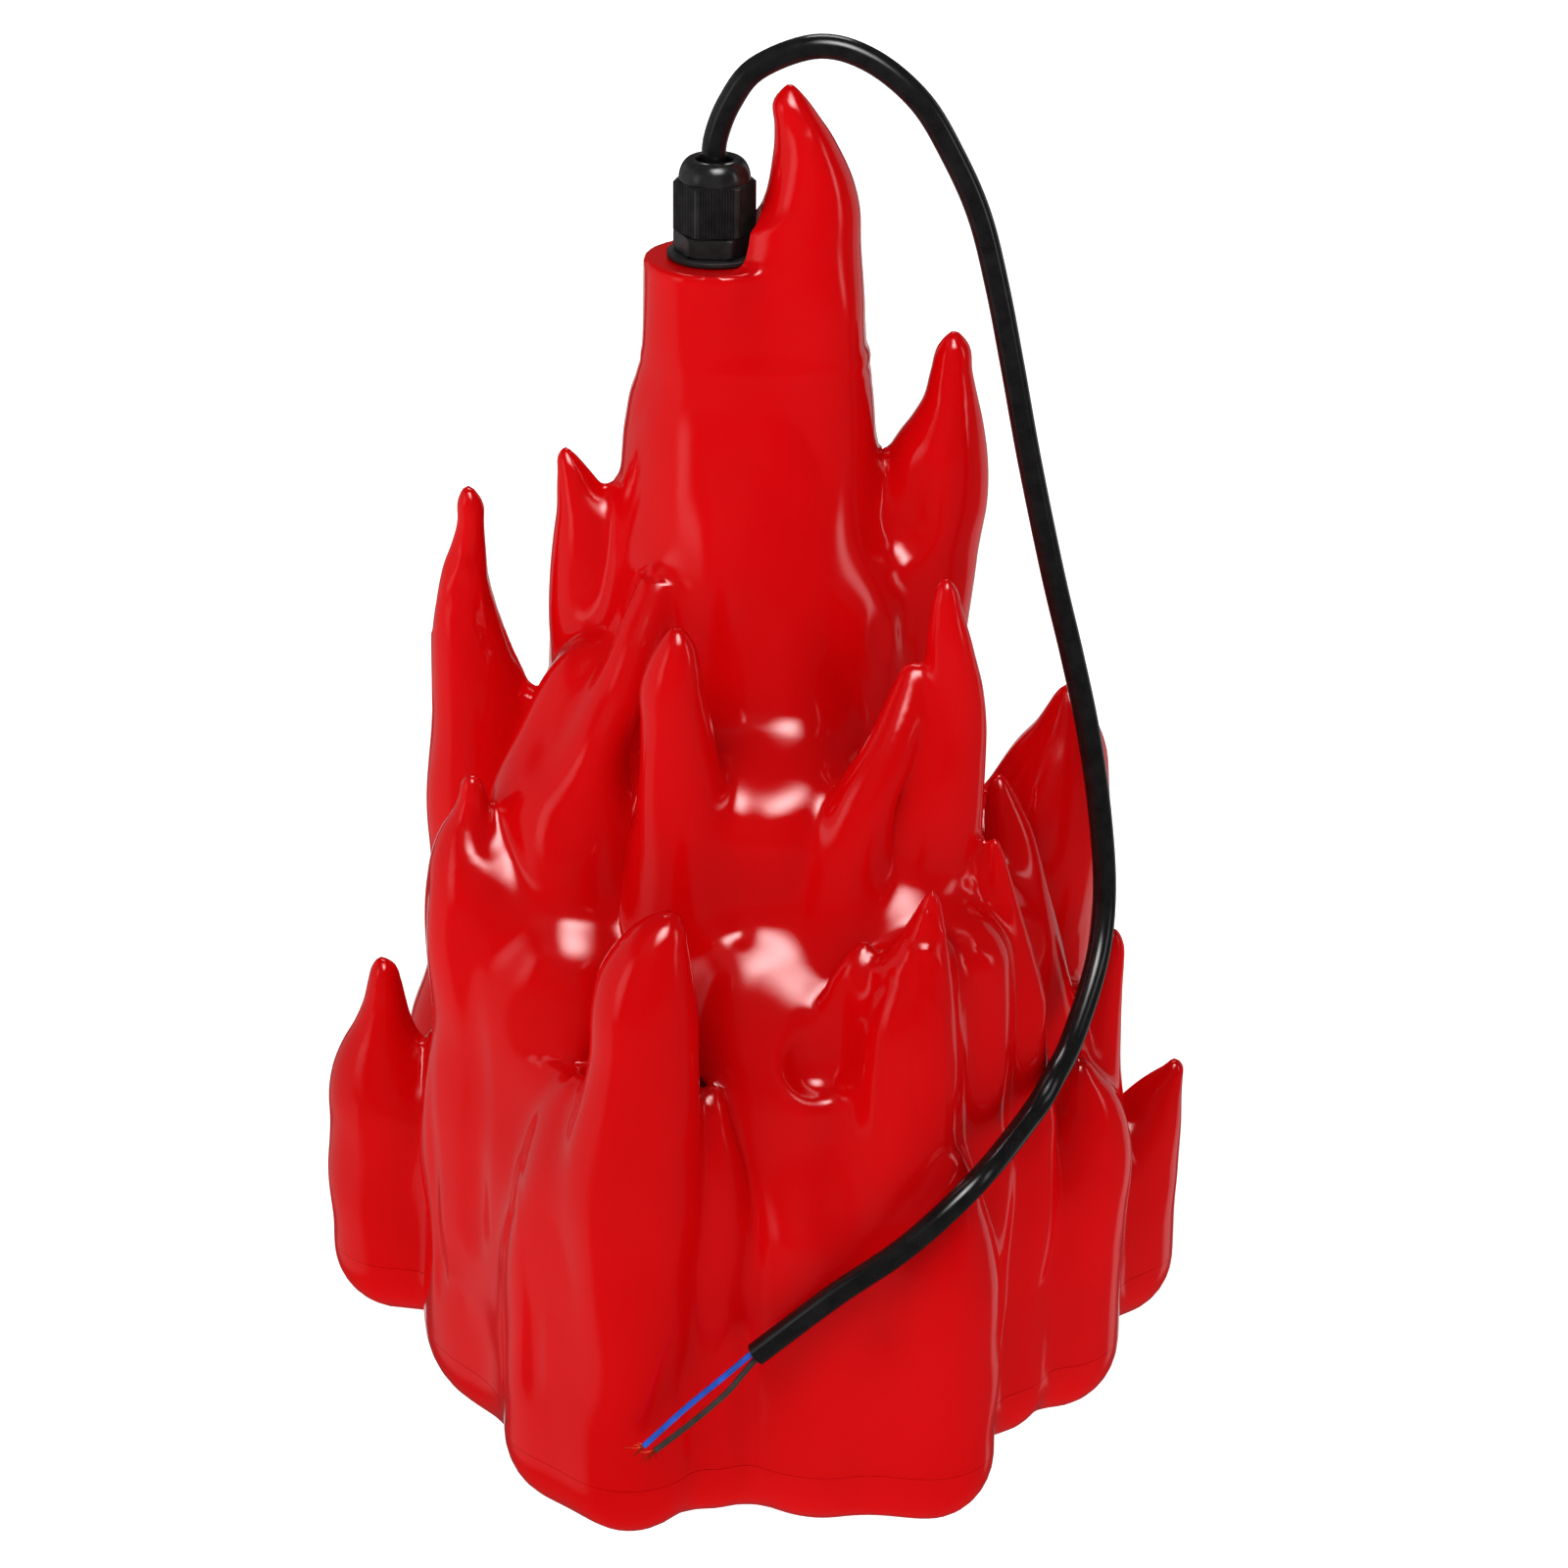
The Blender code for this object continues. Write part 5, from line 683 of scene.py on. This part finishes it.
def new_material(name, colour, roughness, metallic=0.0, **sockets):
    """A Principled material; sockets are its other inputs, such as emission_strength=0.9."""
    material = bpy.data.materials.new(name)
    material.use_nodes = True
    shader = material.node_tree.nodes["Principled BSDF"]
    shader.inputs["Base Color"].default_value = (*colour, 1.0)
    shader.inputs["Roughness"].default_value = roughness
    shader.inputs["Metallic"].default_value = metallic
    for key, value in sockets.items():
        shader.inputs[key.replace("_", " ").title().replace("Ior", "IOR")].default_value = value
    return material


def node(owner, kind, **inputs):
    """Add a node to a material or a light; inputs are its sockets by name, with _ for a space."""
    made = owner.node_tree.nodes.new(kind)
    for key, value in inputs.items():
        made.inputs[key.replace("_", " ")].default_value = value
    return made


def link(owner, source, socket, target, to):
    """Join one node's output to another's input."""
    owner.node_tree.links.new(source.outputs[socket], target.inputs[to])


def noise(material, scale, detail, stretch=None):
    """Noise in the object's own metres; stretch is a scale for each axis."""
    place = node(material, "ShaderNodeTexCoord")
    made = node(material, "ShaderNodeTexNoise", Scale=scale, Detail=detail)
    if stretch:
        mapping = node(material, "ShaderNodeMapping", Scale=stretch)
        link(material, place, "Object", mapping, "Vector")
        link(material, mapping, "Vector", made, "Vector")
    else:
        link(material, place, "Object", made, "Vector")
    return made


def colour_between(material, source, dark, light):
    """Base colour from dark to light along a texture."""
    ramp = node(material, "ShaderNodeValToRGB")
    for number, place, colour in ((0, 0.35, dark), (1, 0.65, light)):
        ramp.color_ramp.elements[number].position = place
        ramp.color_ramp.elements[number].color = (*colour, 1.0)
    link(material, source, "Fac", ramp, "Fac")
    link(material, ramp, "Color", material.node_tree.nodes["Principled BSDF"], "Base Color")


def roughness_between(material, source, low, high):
    """Roughness from low to high along a texture."""
    spread = node(material, "ShaderNodeMapRange", From_Min=0.3, From_Max=0.7, To_Min=low, To_Max=high)
    link(material, source, "Fac", spread, "Value")
    link(material, spread, "Result", material.node_tree.nodes["Principled BSDF"], "Roughness")


def bumps(material, layers):
    """Bump from layers of (texture, height in metres), one on top of the other."""
    last = None
    for texture, distance in layers:
        bump = node(material, "ShaderNodeBump", Strength=1.0, Distance=distance)
        link(material, texture, "Fac", bump, "Height")
        if last:
            link(material, last, "Normal", bump, "Normal")
        last = bump
    link(material, last, "Normal", material.node_tree.nodes["Principled BSDF"], "Normal")


def red_plastic():
    """The flame's glossy red, with slight changes of colour and gloss, moulding waves, ripple and grain."""
    material = new_material("red_plastic", (0.70, 0.002, 0.005), 0.10, IOR=1.5)
    colour_between(material, noise(material, 9.0, 3.0), (0.66, 0.0015, 0.0035), (0.74, 0.0030, 0.0060))
    roughness_between(material, noise(material, 14.0, 4.0), 0.08, 0.15)
    waves = noise(material, 30.0, 1.0, stretch=(1.0, 1.0, 0.60))
    ripple = noise(material, 70.0, 2.0, stretch=(1.0, 1.0, 0.40))
    grain = noise(material, 900.0, 2.0)
    bumps(material, [(waves, 0.0022), (ripple, 0.00012), (grain, 0.000004)])
    return material


def black_nylon(name, roughness, grain):
    """Moulded black nylon, with a fine grain."""
    material = new_material(name, (0.026, 0.025, 0.025), roughness, IOR=1.5)
    colour_between(material, noise(material, 300.0, 3.0), (0.020, 0.019, 0.019), (0.034, 0.032, 0.032))
    roughness_between(material, noise(material, 700.0, 3.0), roughness - 0.05, roughness + 0.08)
    bumps(material, [(noise(material, 1800.0, 3.0), grain)])
    return material


def sheath(name, colour, roughness):
    """Extruded PVC: smooth, with a faint mottle."""
    material = new_material(name, colour, roughness, IOR=1.5)
    light = tuple(1.5 * c + 0.001 for c in colour)
    colour_between(material, noise(material, 240.0, 3.0), colour, light)
    roughness_between(material, noise(material, 180.0, 3.0), roughness - 0.03, roughness + 0.05)
    bumps(material, [(noise(material, 1400.0, 2.0), 0.000004)])
    return material


def plain(name, colour, roughness, metallic=0.0):
    """Rubber, copper and the hidden pieces: slight changes of colour and roughness, and a grain."""
    material = new_material(name, colour, roughness, metallic)
    colour_between(material, noise(material, 200.0, 3.0), tuple(0.9 * c for c in colour), colour)
    roughness_between(material, noise(material, 400.0, 3.0), 0.85 * roughness, 1.2 * roughness)
    bumps(material, [(noise(material, 1200.0, 3.0), 0.000006)])
    return material


# The lead and its bare ends


def core_routes():
    """Where the two cores run: from the sheath's cut end, side by side, to their tips."""
    end, before = Vector(LEAD_ROUTE[-1]), Vector(LEAD_ROUTE[-2])
    along = (end - before).normalized()
    across = along.cross(Vector((0, 1, 0))).normalized()
    routes = []
    for side, tips in ((-1, BLUE_CORE_ROUTE), (1, BROWN_CORE_ROUTE)):
        start = end + GAP * along + side * CORE_SPREAD * CORE_RADIUS * across
        routes.append([start, start.lerp(Vector(tips[0]), 0.5), *(Vector(p) for p in tips)])
    return routes


def build_lead(materials):
    """The supply lead, from the inner lead's top on, with its two cores and the strands at their tips."""
    low_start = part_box("inner_lead")[1].z + GAP
    points = smooth_route([(NECK_X, NECK_Y, low_start), *LEAD_ROUTE], 0.002)
    sheath_tube = tubes("supply_lead_sheath", [points], LEAD_RADIUS, around=10)
    paint(sheath_tube, materials["sheath"])
    cores = []
    for colour, route in zip(("blue", "brown"), core_routes()):
        core = tubes(f"bare_core_{colour}", [smooth_route(route, 0.001)], CORE_RADIUS, around=6)
        paint(core, materials[f"core_{colour}"])
        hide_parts(f"core_{colour}")
        cores.append(core)
        cores.append(build_strands(f"strands_{colour}", route, materials["copper"]))
    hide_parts("supply_lead")
    for piece in [sheath_tube, *cores]:
        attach(piece, "lamp")


def build_strands(name, route, material):
    """Fine copper strands that splay out of a core's tip."""
    rng = random.Random(name)
    tip = route[-1]
    along = (route[-1] - route[-2]).normalized()
    strands = []
    for _ in range(11):
        away = Vector((rng.uniform(-1, 1), rng.uniform(-0.25, 0.15), rng.uniform(-1, 1)))
        start = tip - 0.001 * along + 0.0003 * Vector((rng.uniform(-1, 1), rng.uniform(-1, 1), rng.uniform(-1, 1)))
        length = rng.uniform(0.0016, 0.0042)
        strands.append([start + length * (t * along + 0.9 * t * t * away) for t in (k / 5 for k in range(6))])
    obj = tubes(name, strands, STRAND_RADIUS, around=1)
    paint(obj, material)
    return obj


# The flame and its tray


def build_flame(material):
    """The flame moulding: the fine outer surface, hollowed, with the gland's seat cut flat."""
    low = PARTING_HEIGHT - 0.012
    inside = inner_surface(CAVITY_STEP, low, WALL)
    cavity = from_surface("cavity", inside)
    points, triangles, quads = flame_points(FLAME_STEP, low)
    flame = from_surface("flame_moulding", (moulded(points, inside), triangles, quads))
    # The gland's seat: room for the washer above, the hole, and room for the locknut below
    room = WASHER_BOX_HIGH.x - NECK_X + 0.0004
    nut_room = (NUT_BOX_HIGH.x - NUT_BOX_LOW.x) / 2 + 0.0012
    above, ceiling, below = NECK_TOP + 0.032, NECK_TOP - WALL, NECK_TOP - 0.02
    seat = turned("seat", [
        (0.0, above), (room, above), (room, NECK_TOP), (GLAND_HOLE, NECK_TOP),
        (GLAND_HOLE, ceiling), (nut_room, ceiling), (nut_room, below), (0.0, below),
    ], NECK_X, NECK_Y)
    # The coarse cavity is kept out of the neck's flat top
    plug_radius, plug_top = 0.75 * NECK_RADIUS, NECK_TOP + 0.004
    plug = turned("plug", [
        (0.0, plug_top), (plug_radius, plug_top), (plug_radius, ceiling), (0.0, ceiling),
    ], NECK_X, NECK_Y)
    with_tools(cavity, ("DIFFERENCE", plug))
    square = [(-0.3, -0.3), (0.3, -0.3), (0.3, 0.3), (-0.3, 0.3)]
    floor = prism("floor_cut", square, -0.05, PARTING_HEIGHT + 0.4 * GAP)
    with_tools(flame, ("DIFFERENCE", cavity), ("DIFFERENCE", seat), ("DIFFERENCE", floor))
    smooth(flame, 50)
    paint(flame, material)
    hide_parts("flame_shell")
    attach(flame, "lamp")


def crossing(radii, values):
    """For each bearing, the outermost radius where the value passes zero."""
    inside = values < 0
    last = values.shape[1] - 1 - np.argmax(inside[:, ::-1], axis=1)
    last = np.clip(last, 0, values.shape[1] - 2)
    rows = np.arange(len(values))
    a, b = values[rows, last], values[rows, last + 1]
    return radii[last] + (radii[last + 1] - radii[last]) * a / (a - b)


def outline_at(height, count):
    """Evenly spaced points round the flame at a height."""
    bearings = np.linspace(-math.pi, math.pi, 1441)[:-1]
    radii = np.linspace(0.04, 0.6 * FLAME_WIDTH, 400)
    b, r = np.meshgrid(bearings, radii, indexing="ij")
    values = flame_field((r * np.cos(b)).ravel(), (r * np.sin(b)).ravel(), np.full(r.size, height)).reshape(r.shape)
    edge = crossing(radii, values)
    loop = np.stack([edge * np.cos(bearings), edge * np.sin(bearings)], -1)
    closed = np.vstack([loop, loop[:1]])
    along = np.concatenate([[0], np.cumsum(np.hypot(*np.diff(closed, axis=0).T))])
    wanted = np.arange(count) * along[-1] / count
    return np.stack([np.interp(wanted, along, closed[:, k]) for k in range(2)], -1)


def distance_to_loop(points, loop):
    """Distance of each point from a closed loop."""
    side = np.roll(loop, -1, axis=0) - loop
    nearest = np.full(len(points), np.inf)
    for start, across in zip(loop, side):
        to_point = points - start
        share = np.clip((to_point @ across) / (across @ across), 0, 1)
        nearest = np.minimum(nearest, np.linalg.norm(to_point - share[:, None] * across, axis=1))
    return nearest


def inset_outline(loop, inset):
    """The loop moved inwards by a distance, point for point on the same bearings."""
    if inset <= 0:
        return loop
    bearings = np.arctan2(loop[:, 1], loop[:, 0])
    edge = np.hypot(loop[:, 0], loop[:, 1])
    shares = np.linspace(0.55, 1.0, 120)
    r = edge[:, None] * shares
    points = np.stack([r * np.cos(bearings)[:, None], r * np.sin(bearings)[:, None]], -1)
    gaps = distance_to_loop(points.reshape(-1, 2), loop).reshape(r.shape)
    share = crossing(shares, inset - gaps)
    return loop * share[:, None]


def lofted(name, loop, sections):
    """A closed solid through parallel outlines: each section is (inset, height), bottom to top."""
    bm = bmesh.new()
    rings = []
    for inset, height in sections:
        rings.append([bm.verts.new((x, y, height)) for x, y in inset_outline(loop, inset)])
    count = len(loop)
    for lower, upper in zip(rings, rings[1:]):
        for i in range(count):
            j = (i + 1) % count
            bm.faces.new((lower[i], lower[j], upper[j], upper[i]))
    bm.faces.new(rings[0][::-1])
    bm.faces.new(rings[-1])
    return from_bmesh(name, bm)


def rounded_edge(radius, steps):
    """Sections of a quarter-round lower edge."""
    angles = [math.pi / 2 * k / steps for k in range(steps)]
    return [(radius - radius * math.sin(angle), radius - radius * math.cos(angle)) for angle in angles]


def build_tray(material):
    """The tray below the parting line: hollow above, with a screw well through each boss."""
    loop = outline_at(PARTING_HEIGHT, 420)
    sections = rounded_edge(BASE_ROUNDING, 10)
    sections += [(0.0, BASE_ROUNDING), (0.0, PARTING_HEIGHT), (0.0045, PARTING_HEIGHT)]
    tray = lofted("tray_moulding", loop, sections)
    hollow = lofted("tray_hollow", loop, [(0.022, 0.003), (0.0075, 0.012), (0.0075, 0.03)])
    wells = []
    for number in range(1, TRAY_SCREWS + 1):
        low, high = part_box(f"tray_screw_{number}")
        x, y = (low.x + high.x) / 2, (low.y + high.y) / 2
        boss = turned(f"boss_{number}", [
            (0.0, 0.05), (TRAY_BOSS_RADIUS, 0.05), (TRAY_BOSS_RADIUS, -0.01), (0.0, -0.01),
        ], x, y, segments=32)
        wells.append((x, y))
        with_tools(hollow, ("DIFFERENCE", boss))
    with_tools(tray, ("DIFFERENCE", hollow))
    well_radius = TRAY_SCREW_HEAD_RADIUS + GAP
    for x, y in wells:
        well = turned("well", [
            (0.0, 0.04), (TRAY_SCREW_HOLE, 0.04), (TRAY_SCREW_HOLE, COUNTERBORE_DEPTH),
            (well_radius, COUNTERBORE_DEPTH), (well_radius, -0.01), (0.0, -0.01),
        ], x, y, segments=32)
        with_tools(tray, ("DIFFERENCE", well))
    smooth(tray, 40)
    paint(tray, material)
    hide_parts("base_tray")
    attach(tray, "lamp")


# The gland


def gland_hexagon(turn, ribs=0, depth=0.0):
    """Corners of the gland's hexagon, turned by degrees. Its faces can carry upright ribs between plain ends."""
    plain_share = 0.16
    inner = GLAND_ACROSS_FLATS / 2
    half = inner / math.sqrt(3)
    points = []
    for face in range(6):
        angle = math.radians(60 * face + 30 + turn)
        out = Vector((math.cos(angle), math.sin(angle)))
        side = Vector((-out.y, out.x))
        row = [(-half, 0.0)]
        start = -half * (1 - plain_share)
        pitch = 2 * half * (1 - plain_share) / ribs if ribs else 0
        for k in range(ribs):
            left = start + k * pitch
            row += [(left, 0.0), (left + 0.22 * pitch, -depth)]
            row += [(left + 0.50 * pitch, -depth), (left + 0.72 * pitch, 0.0)]
        if ribs:
            row.append((start + ribs * pitch, 0.0))
        for along, up in row:
            point = (inner + up) * out + along * side
            points.append((point.x, point.y))
    return points


def build_cap(dome_material, hexagon_material):
    """The cap nut: ribbed hexagon, glossy dome with a rolled mouth."""
    low, top = CAP_LOW_CORNER.z, CAP_HIGH_CORNER.z
    shoulder = top - CAP_DOME_HEIGHT
    bore = SPIGOT_RADIUS + 0.0004
    mouth = CAP_MOUTH_RADIUS
    lip = 0.0011
    corner = GLAND_CORNER_RADIUS
    hexagon = prism("cap_hexagon", gland_hexagon(GLAND_TURN, 13, 0.00048), low - 0.002, top)
    skirt = turned("gland_cap_skirt", [
        (0.0, shoulder), (corner - 0.0012, shoulder), (corner, shoulder - 0.0007),
        (corner, low + 0.0003), (corner - 0.0004, low), (0.0, low),
    ])
    core = turned("cap_core", [(0.0, top), (bore, top), (bore, low - 0.01), (0.0, low - 0.01)])
    with_tools(skirt, ("INTERSECT", hexagon), ("DIFFERENCE", core))
    smooth(skirt, 25)
    profile = []
    steps = 14
    for k in range(steps + 1):
        angle = math.pi / 2 * k / steps
        across = CAP_DOME_RADIUS - (CAP_DOME_RADIUS - mouth - lip) * (1 - math.cos(angle)) ** 0.9
        profile.append((across, shoulder + 0.0004 + (CAP_DOME_HEIGHT - 0.0004) * math.sin(angle)))
    inside = [(mouth + 0.0003, top - 0.0003), (mouth, top - 0.0009), (mouth, top - CAP_WALL)]
    foot = shoulder - 0.0006
    ring = [(0.0071, foot), (CAP_DOME_RADIUS - 0.0004, foot), (CAP_DOME_RADIUS, shoulder + 0.0002)]
    dome = turned("gland_cap_dome", inside + ring + profile)
    smooth(dome, 40)
    for piece, material in ((skirt, hexagon_material), (dome, dome_material)):
        piece.location = (NECK_X, NECK_Y, 0)
        paint(piece, material)
    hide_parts("gland_cap")
    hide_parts("gland_cap")
    for piece in (skirt, dome):
        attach(piece, "gland_nut")


def build_gland_rest(body_material, rubber):
    """The gland's body with its hexagonal flange, and the washer under it."""
    low, high = BODY_LOW.z, BODY_HIGH.z
    flange_low = WASHER_BOX_HIGH.z + GAP
    flange_top = CAP_LOW_CORNER.z - GAP
    corner, chamfer = GLAND_CORNER_RADIUS, 0.0005
    thread, pitch = 0.0075, 0.0015
    bore, socket, socket_floor = 0.0040, 0.0060, flange_low + 0.003
    profile = [
        (SPIGOT_RADIUS, high), (SPIGOT_RADIUS, flange_top), (corner - chamfer, flange_top),
        (corner, flange_top - chamfer), (corner, flange_low + chamfer), (corner - chamfer, flange_low),
        (thread, flange_low),
    ]
    z = flange_low - 0.0006
    while z - pitch > low:
        profile += [(thread, z), (thread - 0.0007, z - 0.5 * pitch)]
        z -= pitch
    profile += [(thread - 0.0004, low), (bore, low), (bore, socket_floor), (socket, socket_floor), (socket, high)]
    body = turned("gland_body_moulding", profile)
    hexagon = prism("body_hexagon", gland_hexagon(FLANGE_TURN), low - 0.01, high + 0.01)
    with_tools(body, ("INTERSECT", hexagon))
    smooth(body, 30)
    body.location = (NECK_X, NECK_Y, 0)
    paint(body, body_material)
    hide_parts("gland_body")
    radius, edge = (WASHER_BOX_HIGH.x - WASHER_BOX_LOW.x) / 2, 0.0003
    low, high = WASHER_BOX_LOW.z, WASHER_BOX_HIGH.z
    washer = turned("gland_washer_ring", [
        (radius - edge, high), (radius, high - edge), (radius, low + edge), (radius - edge, low),
        (GLAND_HOLE, low), (GLAND_HOLE, high),
    ])
    smooth(washer, 40)
    washer.location = (NECK_X, NECK_Y, 0)
    paint(washer, rubber)
    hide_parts("gland_washer")
    for piece in (body, washer):
        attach(piece, "lamp")


# What stays as the CAD made it


def finish_nodes(materials):
    """Give every carried-over CAD node its slot's material."""
    slots = {s["node"]: s["material_slot"] for s in frame["record"]["subparts"]}
    for name, obj in frame["nodes"].items():
        paint(obj, materials[slots[name]])


# Floor and light


def computed(owner, kind, operation, source, socket):
    """Add a maths node that works on another node's output."""
    made = node(owner, kind)
    made.operation = operation
    link(owner, source, socket, made, 0)
    return made


def fade_edges(light, size, edge):
    """Let a softbox grow darker towards its edges, over this share of its size."""
    lamp = light.data
    lamp.use_nodes = True
    place = node(lamp, "ShaderNodeNewGeometry")
    from_middle = computed(lamp, "ShaderNodeVectorMath", "SUBTRACT", place, "Position")
    from_middle.inputs[1].default_value = light.location
    turn = light.rotation_euler.to_matrix()
    fades = []
    for axis, length in zip(((1, 0, 0), (0, 1, 0)), size):
        along = computed(lamp, "ShaderNodeVectorMath", "DOT_PRODUCT", from_middle, "Vector")
        along.inputs[1].default_value = turn @ Vector(axis)
        off = computed(lamp, "ShaderNodeMath", "ABSOLUTE", along, "Value")
        low, high = (0.5 - edge) * length, 0.5 * length
        fade = node(lamp, "ShaderNodeMapRange", From_Min=low, From_Max=high, To_Min=1.0, To_Max=0.0)
        fade.interpolation_type = "SMOOTHSTEP"
        link(lamp, off, "Value", fade, "Value")
        fades.append(fade)
    strength = computed(lamp, "ShaderNodeMath", "MULTIPLY", fades[0], "Result")
    link(lamp, fades[1], "Result", strength, 1)
    link(lamp, strength, "Value", lamp.node_tree.nodes["Emission"], "Strength")


def area_light(name, place, target, size, power, glossy=True, diffuse=True, edge=0.0, shape="RECTANGLE"):
    """A softbox at place, turned to target. Without glossy it isn't reflected, and without diffuse it only is."""
    data = bpy.data.lights.new(name, "AREA")
    data.shape = shape
    data.size, data.size_y = size
    data.energy = power
    light = add_object(name, data)
    light.location = place
    light.rotation_euler = (Vector(target) - Vector(place)).to_track_quat("-Z", "Y").to_euler()
    light.visible_glossy = glossy
    light.visible_diffuse = diffuse
    if edge:
        fade_edges(light, size, edge)


def build_studio():
    """A pale floor that gives light of its own, a dim surround, softboxes, veils from below the floor, and fills."""
    bm = bmesh.new()
    bmesh.ops.create_grid(bm, x_segments=1, y_segments=1, size=30.0)
    floor = from_bmesh("floor", bm)
    paint(floor, new_material(
        "floor_paper", (0.35, 0.35, 0.35), 0.7,
        specular_ior_level=0.1, emission_color=(1, 1, 1, 1), emission_strength=0.92,
    ))
    floor.visible_glossy = False
    floor.visible_shadow = False
    world = bpy.data.worlds.new("studio")
    world.use_nodes = True
    background = world.node_tree.nodes["Background"]
    background.inputs["Color"].default_value = (1, 1, 1, 1)
    background.inputs["Strength"].default_value = 0.06
    bpy.context.scene.world = world
    area_light("left_panel", (-1.2, -0.75, 0.60), (0, 0, 0.2), (0.70, 1.2), 2.4, edge=0.4)
    area_light("right_panel", (1.25, -0.40, 0.65), (0, 0, 0.2), (0.40, 1.1), 2.8, edge=0.4)
    area_light(
        "top_softbox", (0.16, -0.66, 1.32), (0, 0, 0.15), (1.1, 1.0), 34, diffuse=False, edge=0.48, shape="ELLIPSE",
    )
    area_light("back_softbox", (0.05, 0.75, 1.30), (0, 0, 0.2), (0.60, 0.35), 4)
    area_light("left_veil", (-1.3, 0.56, 0.0), (0, 0.56, 0), (2.9, 2.4), 5.5, diffuse=False, edge=0.16)
    area_light("right_veil", (1.3, 1.45, 0.0), (0, 1.45, 0), (1.95, 2.4), 5.2, diffuse=False, edge=0.10)
    area_light("back_veil", (0.0, 1.7, -0.55), (0, 0, 0.19), (1.5, 1.1), 2.6, diffuse=False)
    for name, place, size, power in (
        ("top_fill", (-0.25, -0.60, 1.15), (0.9, 0.7), 5.6),
        ("front_fill", (-0.35, -1.6, 0.9), (1.4, 1.0), 2.5),
        ("left_fill", (-1.5, -0.2, 0.8), (1.0, 1.0), 2.0),
        ("right_fill", (1.5, -0.2, 0.8), (1.0, 1.0), 1.7),
        ("back_fill", (0.0, 1.6, 0.9), (1.0, 1.0), 4),
    ):
        area_light(name, place, (0, 0, 0.15), size, power, glossy=False)
    view = bpy.context.scene.view_settings
    view.view_transform = "Standard"
    view.look = "Medium High Contrast"


def main():
    """Build every piece, the studio and the camera."""
    build_camera()
    nylon = black_nylon("nylon_matt", 0.34, 0.00002)
    gloss = black_nylon("nylon_gloss", 0.16, 0.000004)
    rubber = plain("rubber", (0.020, 0.018, 0.018), 0.6)
    red = red_plastic()
    materials = {
        "sheath": sheath("pvc_black", (0.013, 0.012, 0.012), 0.17),
        "core_blue": sheath("pvc_blue", (0.02, 0.10, 0.50), 0.30),
        "core_brown": sheath("pvc_brown", (0.060, 0.045, 0.038), 0.34),
        "copper": plain("copper", (0.72, 0.22, 0.08), 0.3, 1.0),
    }
    build_lead(materials)
    build_flame(red)
    build_tray(red)
    build_cap(gloss, nylon)
    build_gland_rest(nylon, rubber)
    finish_nodes({
        "flame_red": red,
        "black_nylon": nylon,
        "black_rubber": rubber,
        "lead_sheath": materials["sheath"],
        "core_blue": materials["core_blue"],
        "core_brown": materials["core_brown"],
        "white_plastic": plain("white_plastic", (0.75, 0.75, 0.72), 0.45),
        "clear_nylon": plain("milky_nylon", (0.70, 0.72, 0.68), 0.35),
        "aluminium": plain("aluminium", (0.72, 0.73, 0.75), 0.35, 1.0),
        "steel": plain("zinc_plated_steel", (0.60, 0.60, 0.62), 0.28, 1.0),
        "led_board": plain("led_board", (0.82, 0.80, 0.70), 0.5),
    })
    build_studio()


main()
